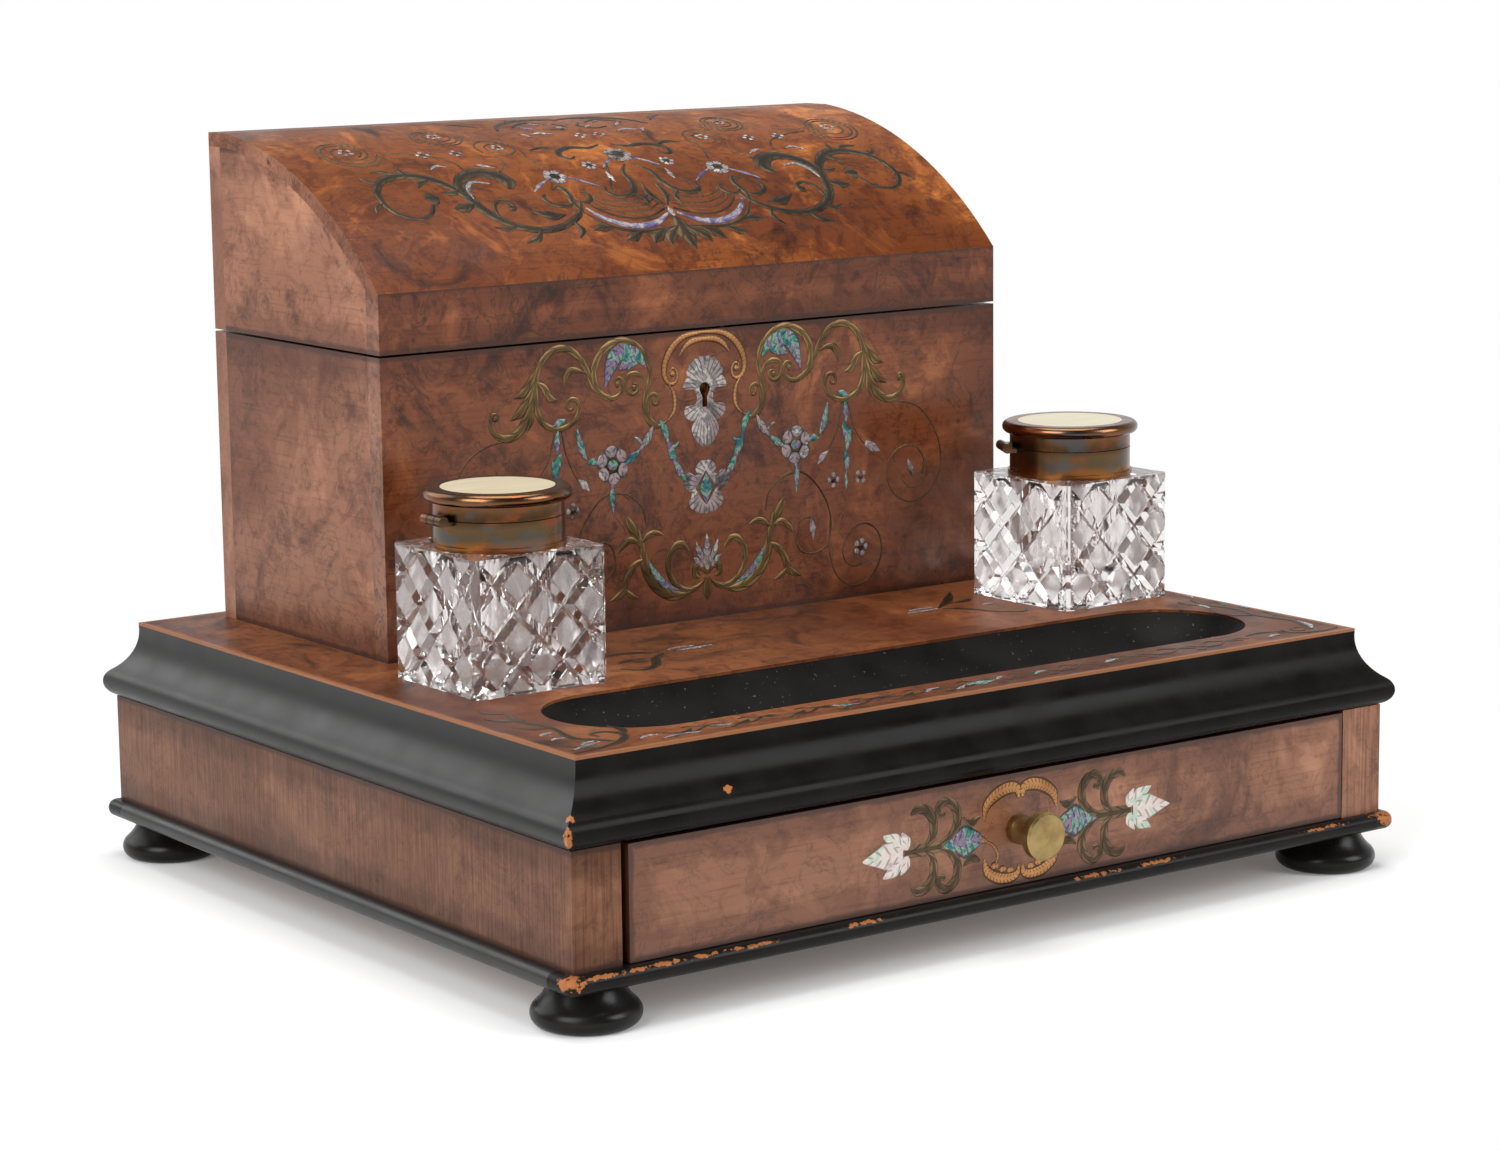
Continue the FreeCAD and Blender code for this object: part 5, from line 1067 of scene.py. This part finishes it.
# %% Metal on the dome
dome_eyes = dots((35.6, 54, 2.4), (78, 76, 1.2), (64.4, 76, 1.1), (17, 60.6, 1.4))
dome_eye_middle = dots((0, 67.5, 2.8))
dome_brass = alike(
    0.7, (2, 31, 10, 27.2, 18, 26.8, 26, 30, 31, 35)
) + alike(
    (1, 3, 0.3), (18, 20, 23, 17, 26, 16), (28, 23, 33, 23, 37, 22)
) + alike(
    0.5, (4, 66, 9, 61, 13, 52, 17, 44, 18, 36), (69.4, 60, 69, 66, 72, 72, 77, 75)
) + alike(
    (0.6, 2, 0.4), (21, 74, 27, 77, 33, 75.6), (43, 27.6, 41.6, 22.6, 44.6, 18.6), (76, 51, 81.4, 47.4, 86, 48.4),
    (66, 26.6, 71, 25.4, 75.6, 27)
) + alike(
    (0.6, 1.6, 0.4), (10, 41, 6.6, 37, 7.6, 32.6), (111, 44, 115, 42, 117, 38)
) + drawn(
    (34, 38, 0.8, 37.5, 32, 1.6, 43, 27.5, 2, 50, 24.6, 2.2, 58, 24, 2.4, 66, 26.4, 2.6, 72.6, 32, 2.8, 76, 39.4, 3,
     77.4, 47, 3, 75.4, 54, 3.2, 70, 58.8, 3.6, 63.6, 60, 4.4, 58.4, 57.6, 5, 56, 52.6, 4.4, 58, 48, 1.5),
    (71, 31, 0.6, 70, 37.6, 1.2, 66.6, 41, 1.2, 62.8, 39.8, 1.1, 62, 36.6, 1.1, 64, 35.2, 0.9),
    (44, 31, 0.6, 50, 31, 3.6, 57, 34.4, 0.4),
    (77.6, 44, 0.8, 81, 52, 2.4, 86, 57.4, 3.2, 93, 60.8, 3.6, 100.4, 60, 3, 107, 56, 2.2, 111, 49, 1.8, 111, 41,
     1.6, 107.4, 35.8, 1.4, 101.4, 34, 1.2, 96, 36.6, 1.2, 93, 41.4, 1), (93, 60, 2, 94, 64, 1.6, 94.4, 67.4, 0.3),
    (86, 57, 0.6, 90.6, 55, 2, 93, 52, 0.3), (106, 56.6, 0.6, 110, 58, 1.6, 112.4, 61, 0.3),
    (77, 40, 1, 82, 38.4, 4, 85.6, 38, 1.2),
    (0, 21.5, 0.6, 8, 20.4, 1, 16, 19.6, 1.2, 24, 21, 1.2, 31, 25, 1, 35.4, 31, 0.5),
    (2, 21, 1.4, 7, 16.4, 3.4, 9, 12.4, 0.3), (8, 20.4, 1.4, 13, 16.6, 3.6, 15.4, 13.6, 0.3),
    (36, 31, 0.6, 37.6, 37, 1.6, 36.4, 43, 2, 38, 47.4, 1.8, 41, 46, 0.6),
    (37.4, 37, 0.8, 41.4, 35.6, 1.5, 46, 37.4, 1.5, 47.8, 41, 1.3, 46, 43.4, 0.8),
    (36.4, 39, 0.8, 33, 37, 1.4, 29.6, 38.4, 1.4, 28.6, 41.6, 1.2, 31, 43, 0.8),
    (0, 110.5, 0.8, 6, 112.6, 2.2, 14, 112.4, 2.4, 22, 110, 2.2, 29, 105, 1.8, 33, 98, 0.8),
    (24, 102, 0.6, 20, 106, 1.4, 14, 107.6, 1.4, 9, 104, 0.6), (38, 103, 0.4, 42, 108.6, 2.4, 47, 111, 0.4),
    (3, 77, 0.6, 9, 74.6, 1.6, 16, 76, 2.2, 22, 73.4, 1.8, 24, 69, 1.4, 21.4, 66.4, 1.1, 18.6, 68, 0.7),
    (2, 60, 0.6, 6, 54, 1.4, 6.4, 47, 2, 10, 41, 2, 16, 39.4, 1.6, 20, 42, 1.2, 19, 45.6, 0.7),
    (0.6, 33, 0.6, 3.4, 39.6, 2.2, 2.6, 47, 0.4), (58, 24, 0.6, 62, 19.6, 2.4, 67, 18, 0.4),
    (96, 61, 0.6, 101, 64.4, 1.8, 106, 64, 0.4), (12, 111, 0.4, 16.6, 113, 1.6, 21, 112.4, 0.4),
    (6, 104, 0.6, 3, 99, 1.2, 8, 95.4, 1.2, 14, 97, 0.5)
) + dots((63.4, 37, 1.3), (91.4, 45, 2.6))
dome_brass_middle = drawn((0, 26, 2, 0, 18, 6, 0, 9, 0.4))
dome_wire = alike(
    0.4, (3, 34, 10, 30.4, 18, 30, 25.6, 33, 29, 37), (3, 37, 10, 33.4, 18, 33, 25.6, 36, 28, 39),
    (3, 40, 10, 36.4, 18, 36, 25.6, 39, 27, 41)
) + alike(
    0.45, (77, 75, 84, 78, 93, 79.5), (55, 60, 50, 66, 50, 72), (35, 58, 38, 68, 37, 76)
) + coils(
    (106, 82, 13.5, 4, 3.6, 1.7, 0.45), (63, 94, 11, 3.5, 3.4, 1.6, 0.45), (45, 79, 9, 3, -0.4, 1.6, 0.45),
    (106, 82, 11.6, 5.4, 3.4, 1.1, 0.45), (63, 94, 9.2, 4.8, 3.2, 1, 0.45)
)
print("metal ribbons in half the dome:", len(dome_eyes + dome_brass + dome_wire))

# %% Shell on the dome
dome_violet = drawn(
    (2, 28.4, 1.2, 8, 24.4, 3, 14, 22.8, 3.6, 20, 23, 3.6, 26, 25.4, 3.2, 31, 29.6, 2.4, 34, 34, 0.6),
    (39.6, 52.4, 0.6, 45, 49, 2, 49.4, 45, 0.6), (31.4, 53.6, 0.6, 26.4, 50.4, 1.6, 21, 46, 0.5),
    (4, 65, 0.6, 9, 61.6, 1.6, 12.4, 58, 0.6), (18, 97, 0.5, 21, 100, 2, 22, 102, 0.4)
)
dome_pearl = alike(
    (0.4, 2.6, 0.4), (13, 48, 13, 51.6, 13, 55.2), (14, 90, 19, 92, 24, 90.4)
) + alike(
    (0.4, 2, 0.4), (4, 96, 6, 98, 8, 98.6), (25, 88, 26, 91, 28, 92)
) + drawn(
    (75.6, 43, 0.6, 74.4, 49.4, 2.2, 70.4, 53.6, 2.2, 64, 52, 0.6), (74, 65, 0.5, 78, 66.4, 2.2, 82, 63.4, 0.4),
    (55.6, 62.4, 0.4, 59.4, 64.8, 2.4, 62, 65.6, 0.5), (12, 103, 0.4, 14, 105, 1.8, 16, 105.4, 0.4)
) + flowers(
    (35.6, 54, 4.6, 6, 4, 0), (78, 76, 2.8, 4, 2.2, 0), (64.4, 76, 2.6, 4, 2, 0), (4, 87, 2.6, 4, 2, 0),
    (106, 82, 3.2, 5, 2.2, 0), (63, 94, 2.8, 5, 2, 0), (45, 79, 2.6, 5, 2, 0), (17, 60.6, 3, 6, 2.2, 0)
)
dome_pearl_middle = drawn(
    (0, 26.4, 1.2, 0, 29, 3.4, 0, 32, 0.4)
) + flowers((0, 67.5, 5.4, 7, 4.2, 0))
print("shell ribbons in half the dome:", len(dome_violet + dome_pearl))

# %% Inlay on the dome
DOME_RADIUS = 163.0
DOME_AXIS = (141.27, 97.85)
DOME_ARRIS = (23.75, 210.8)
DOME_START = math.atan2(DOME_ARRIS[1] - DOME_AXIS[1], DOME_ARRIS[0] - DOME_AXIS[0])
DOME_MIDDLE = 2.0


def on_dome(x, bend, lift):
    """Flat drawing to the dome: the second number runs along the arc, so it is an angle times the radius."""
    angle = DOME_START - bend / DOME_RADIUS
    out = DOME_RADIUS + lift
    return np.stack([x + DOME_MIDDLE, DOME_AXIS[0] + out * np.cos(angle), DOME_AXIS[1] + out * np.sin(angle)], -1)


lay_inlay("dome_brass_scrolls", mirrored(dome_brass) + dome_brass_middle, on_dome, "lid", "dark_brass", 1.6)
lay_inlay("dome_wire_coils", mirrored(dome_wire), on_dome, "lid", "wire", 2.0)
lay_inlay("dome_flower_eyes", mirrored(dome_eyes) + dome_eye_middle, on_dome, "lid", "dark_brass")
lay_inlay("dome_violet_shell", mirrored(dome_violet), on_dome, "lid", "violet")
lay_inlay("dome_white_shell", mirrored(dome_pearl) + dome_pearl_middle, on_dome, "lid", "pearl")

# %% [markdown]
# ## The drawer front
# Round the knob sits a copper cartouche, and to each side of it a green shell diamond, bronze tendrils and a
# white shell tulip. The tendrils are the same above and below, so they are mirrored twice.

# %% Drawing of the drawer front
DRAWER_HEIGHT = 38.0


def also_upside_down(strips, height):
    """The strips and their mirror images across a level line."""
    return strips + [(points * (1, -1) + (0, 2 * height), widths) for points, widths in strips]


drawer_tendrils = also_upside_down(drawn(
    (40, 38.6, 0.8, 36.8, 42, 1.8, 36.4, 46.6, 2, 39, 50.6, 2, 43, 51.6, 1.8, 45.6, 50, 0.5),
    (34, 38.6, 0.8, 28.6, 41.4, 1.8, 26.4, 45.6, 2, 27.4, 50, 2, 31, 52.6, 1.8, 34.4, 51, 1.5, 34, 48.4, 1.3,
     31.6, 48.6, 1),
    (24, 46, 0.4, 20.6, 44, 2, 17, 45.4, 0.5)), DRAWER_HEIGHT)
drawer_stem = drawn((48, 38, 2, 40, 38, 2.4, 33, 38, 2))
drawer_copper = drawn(
    (21.8, 37.6, 0.4, 18, 37.8, 4.2, 14.4, 37, 1.6),
    (15.4, 44, 0.8, 14.2, 48.6, 4.4, 10, 51.8, 5.4, 5, 53.2, 5.4, 1.4, 52.4, 4.6, 0.8, 49.6, 1.6),
    (15.4, 31, 1, 14, 26.6, 4.4, 9.6, 23.8, 5, 4.6, 23, 4.4, 1.4, 24, 3.4, 0.8, 27, 1),
    (15, 37, 0.6, 11.6, 35, 1.2, 9.6, 31.6, 1.2, 10.4, 29, 0.6), (15, 38, 0.6, 12.4, 41, 1.2, 11.6, 44, 0.6)
) + dots((11, 28, 1.6), (7.6, 26.4, 1.5), (4.4, 25.6, 1.4))
drawer_abalone = drawn((32.4, 37.6, 0.4, 28, 37.8, 7, 23.6, 38, 13, 19.4, 38, 8, 16.6, 38, 4))
drawer_pearl = alike(
    (2, 3, 0.4), (47.6, 39, 47.6, 42, 49.4, 45), (47.6, 37, 47.8, 34, 49.8, 31)
) + drawn(
    (49, 38, 5, 56, 38, 7, 65.3, 37.6, 0.4), (48.6, 39.4, 3, 52.4, 42.6, 4.4, 57, 44.8, 0.4),
    (49, 36.4, 3, 53, 33, 4, 57, 30.8, 0.4)
)
print("ribbons in half the tendrils:", len(drawer_tendrils + drawer_stem))

# %% Inlay on the drawer front
DRAWER_MIDDLE = 5.4
drawer_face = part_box("drawer_front")[0].y / MM


def on_drawer(x, z, lift):
    """Flat drawing to the drawer front, counted from the middle of the knob's ornament."""
    return np.stack([x + DRAWER_MIDDLE, drawer_face - lift, z + 0 * x], -1)


lay_inlay("drawer_brass_tendrils", mirrored(drawer_tendrils + drawer_stem), on_drawer, "drawer", "bronze", 2.0)
lay_inlay("drawer_copper_cartouche", mirrored(drawer_copper), on_drawer, "drawer", "copper")
lay_inlay("drawer_green_shell", mirrored(drawer_abalone), on_drawer, "drawer", "abalone")
lay_inlay("drawer_white_shell", mirrored(drawer_pearl), on_drawer, "drawer", "pale_pearl", 1.4)

# %% [markdown]
# ## The platform
# A dark brass vine runs along the front between the tray and the edge, with shell leaves here and there, and leafy
# scrolls sit at the corners and beside the wells. The vine is a sine wave, so its leaves can be set at its crests.

# %% The vine
VINE_LINE = -127.6
VINE_WAVE = 22.0
VINE_SWAY = 2.6


def vine(start, stop):
    """A wavy stem as one ribbon, with a leaf and a hook at every crest that point on and outwards."""
    across = np.arange(start, stop, VINE_WAVE / 8)
    stem = np.column_stack([across, VINE_LINE + VINE_SWAY * np.sin(2 * math.pi * across / VINE_WAVE)])
    strips = alike(0.9, stem)
    for x in np.arange(start + VINE_WAVE / 4, stop - VINE_WAVE / 4, VINE_WAVE / 2):
        side = np.sign(np.sin(2 * math.pi * x / VINE_WAVE))
        leaf, hook = [(0, VINE_SWAY), (4, 1.2), (7.5, -1.6)], [(0, VINE_SWAY), (-2.6, 4.6), (-5.6, 4.2)]
        strips += alike((0.6, 2.8, 0.4), np.multiply(leaf, (1, side)) + (x, VINE_LINE))
        strips += alike((0.5, 1.4, 0.4), np.multiply(hook, (1, side)) + (x, VINE_LINE))
    return strips


front_vine = vine(-126, 122)
print("ribbons in the vine:", len(front_vine))

# %% Drawing of the platform
platform_brass = alike(
    (0.6, 2.4, 0.4), (-146, -98, -152, -96, -156, -90), (-147, -84, -153, -80, -156, -74),
    (-141, -127.4, -146, -119, -152.6, -115), (-134, -120, -130, -113, -131, -106), (154, -98, 148, -92, 146, -84),
    (154, -71, 150, -67, 150, -61)
) + alike(
    (0.6, 2.2, 0.4), (155, -104, 160, -100, 161, -94), (155, -78, 160, -74, 161, -68)
) + alike(
    (0.8, 2.6, 2.4, 2, 0.6), (-50, -20, -57, -26, -64, -36, -72, -40, -77, -34),
    (76, -16, 83, -22, 89, -33, 96, -38, 101, -33)
) + alike(
    (0.6, 2.6, 0.4), (-57, -25, -66, -24, -72, -26), (-151, -131, -156.4, -124, -160, -116),
    (84, -9, 92, -9, 98, -6)
) + drawn(
    (-146, -124, 0.6, -149, -112, 2.2, -146, -98, 1.4, -149, -84, 2.2, -146, -70, 0.5),
    (140, -126, 0.6, 132, -122.5, 2, 124, -124, 0.5),
    (153, -124, 0.6, 157, -112, 2.2, 154, -98, 1.4, 157, -84, 2.2, 154, -70, 1.4, 157, -60, 0.5),
    (-50, -18, 0.8, -58, -14, 3, -66, -12, 2.4, -74, -15, 0.5),
    (-161, -133, 0.6, -151, -131, 1.8, -141, -127.6, 2.4, -134, -120, 2, -136.4, -113, 1.6, -142, -113, 1.2, -141.4,
     -117.4, 0.8), (-147, -71, 0.5, -151, -66, 2.2, -150, -60, 0.4),
    (160, -132, 0.5, 152, -133, 2.2, 144, -131, 2, 137, -126.4, 0.5),
    (76, -14, 0.8, 84, -8, 3, 92, 0, 2.6, 99, 8, 0.5)
) + coils((147, -127, 6.5, 1.6, 2.6, 1.4, 1.2))
platform_abalone = drawn(
    (-4, -127.6, 0.6, 2, -127.6, 7, 8, -127.6, 0.6), (-58, -126, 0.5, -54, -128.4, 3.2, -49, -129, 0.5),
    (24, -129, 0.5, 28, -126.4, 3, 32, -126.2, 0.5), (161.6, -86, 0.4, 162, -83, 1.8, 161.6, -80, 0.4)
)
platform_pearl = alike(
    (0.5, 3.2, 0.5), (152, -128, 156, -122, 157.6, -115), (-22, -129, -18, -126, -14, -125.6),
    (91, -20, 95, -18, 99, -18.6)
) + alike(
    (0.5, 3, 0.5), (-106, -126, -102, -128, -98, -128), (-153, -125, -150, -122.6, -146.6, -122)
) + alike(
    (1, 2.8, 0.4), (9, -127.6, 12, -125, 15.4, -124), (-5, -127.6, -8, -130, -11.4, -131)
) + alike(
    (0.5, 2.6, 0.5), (-156, -106, -153, -104, -150, -104), (-157, -114, -154, -112, -151, -112.6)
) + alike(
    (0.5, 2.8, 0.5), (-134, -128.6, -130, -126, -126, -126.6), (129, -131, 132, -129, 135, -129.4)
) + alike(
    (0.4, 4, 1.2), (-28, -18.4, -36, -19, -45, -19.6), (60, -15.6, 67, -15, 75, -14.6)
) + alike(
    (0.4, 2.4, 0.8), (-34, -16, -40, -15, -46, -16.4), (63, -12.4, 69, -11, 75, -12)
) + drawn(
    (-159, -129, 0.6, -152.6, -126.6, 4.2, -145.6, -124, 0.6),
    (-128, -132, 0.5, -120, -130.4, 3.6, -113, -131.6, 0.5), (150, -78, 0.4, 152, -73, 2.8, 151.6, -67, 0.4),
    (55, -129, 0.5, 59.6, -126.4, 3.4, 64, -126, 0.5), (160, -58, 0.4, 161.4, -55, 2.2, 161, -51, 0.4)
)
print("ribbons beside the vine:", len(platform_brass + platform_abalone + platform_pearl))

# %% Inlay on the platform
platform_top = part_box("platform_veneer")[1].z / MM


def on_platform(x, y, lift):
    """Flat drawing to the platform, seen from above."""
    return np.stack([x, y, platform_top + lift + 0 * x], -1)


lay_inlay("platform_brass_vine", front_vine + platform_brass, on_platform, "base", "dark_brass", 1.5)
lay_inlay("platform_green_shell", platform_abalone, on_platform, "base", "abalone")
lay_inlay("platform_white_shell", platform_pearl, on_platform, "base", "pearl")

# %% [markdown]
# ## Floor and light
# A pale floor takes the soft shadow. A large soft lamp stands to the left, a weaker one to the right of the camera,
# one behind on the left for the shine on the left cornice, and a wide one hangs above. The floor and the
# surroundings look white to the camera. In a shine they are white behind the object and dark on the camera's side,
# as in a studio, which is why the black mouldings stay black in front and show a grey shine on the left.

# %% Floor
REACH = 40.0
SHADOW_REACH = 0.24
LEAST_WHITE = 0.10
floor_mesh = bpy.data.meshes.new("floor")
corners = [(-REACH, -REACH, 0), (REACH, -REACH, 0), (REACH, REACH, 0), (-REACH, REACH, 0)]
floor_mesh.from_pydata(corners, [], [(0, 1, 2, 3)])
floor = new_object("floor", floor_mesh)


def seen_white(tree):
    """1 for rays that come from the camera, a shine or a look through glass, and 0 for light that only fills."""
    path = put(tree, "LightPath", {})
    shine = path.beside("Is Glossy Ray").math("MAXIMUM", path.beside("Is Transmission Ray"))
    return path.beside("Is Camera Ray").math("MAXIMUM", shine)


pale, place = start_finish("pale_floor")
tree = pale.node_tree
footprint = (cad_box[1][0], cad_box[1][1], 0.0)
outside = vector("SUBTRACT", vector("ABSOLUTE", place), footprint)
away = vector("LENGTH", vector("MAXIMUM", outside, (0, 0, 0)), output="Value")
feeds = {0: away, 1: 0.0, 2: SHADOW_REACH, 3: LEAST_WHITE, 4: 1.0}
plain_white = put(tree, "MapRange", feeds, interpolation_type="SMOOTHSTEP")
matt = put(tree, "BsdfDiffuse", {"Color": (0.90, 0.90, 0.90, 1.0)})
white = put(tree, "Emission", {"Color": (1, 1, 1, 1), "Strength": 1.0})
mixed = put(tree, "MixShader", {0: seen_white(tree) * plain_white, 1: matt, 2: white})
feed(tree, tree.nodes["Material Output"], {"Surface": mixed})
floor_mesh.materials.append(pale)
print("floor ready, footprint", [round(v, 3) for v in footprint])

# %% Surroundings
FILL = 0.22
DARK_SIDE, WHITE_SIDE, OVERHEAD = 0.22, 0.85, 0.30
world = bpy.data.worlds.new("studio")
bpy.context.scene.world = world
world.use_nodes = True
tree = world.node_tree
path = put(tree, "LightPath", {})
look = put(tree, "TexCoord", {}, "Generated")
ahead = (math.sin(CAMERA_TURN), math.cos(CAMERA_TURN), 0.0)
behind = vector("DOT_PRODUCT", look, ahead, output="Value")
low_down = spread(put(tree, "SeparateXYZ", {0: look}, "Z"), 1.0, OVERHEAD, 0.10, 0.75)
shine = spread(behind, DARK_SIDE, WHITE_SIDE, -0.35, 0.55) * low_down * path.beside("Is Glossy Ray")
plain = path.beside("Is Camera Ray").math("MAXIMUM", path.beside("Is Transmission Ray"))
level = plain.math("MAXIMUM", shine).math("MAXIMUM", path.beside("Is Diffuse Ray") * FILL)
feed(tree, tree.nodes["Background"], {"Color": (1, 1, 1, 1), "Strength": level})
print("surroundings ready")


# %% Lamps
def soft_lamp(name, place, aim, size, power):
    """A square soft lamp at a place, turned to look at the aim point."""
    lamp = bpy.data.lights.new(name, "AREA")
    lamp.size = size
    lamp.energy = power
    held = new_object(name, lamp)
    held.location = place
    held.rotation_euler = (Vector(aim) - Vector(place)).to_track_quat("-Z", "Y").to_euler()


middle = (0.0, 0.0, 0.12)
soft_lamp("left_softbox", (-1.7, -0.6, 1.1), middle, 1.2, 32.0)
soft_lamp("right_softbox", (1.2, -1.8, 1.2), middle, 1.2, 29.0)
soft_lamp("back_left_softbox", (-0.85, 1.6, 1.25), middle, 1.5, 13.0)
soft_lamp("top_softbox", (0.1, 0.1, 1.9), middle, 1.4, 26.0)

# %% [markdown]
# ## Size
# The box of the solids is printed at the end. The dressed stand has to stay inside the box of the solids.

# %% Print the box of the solids
print("box of the solids", [tuple(round(v, 4) for v in c) for c in cad_box])
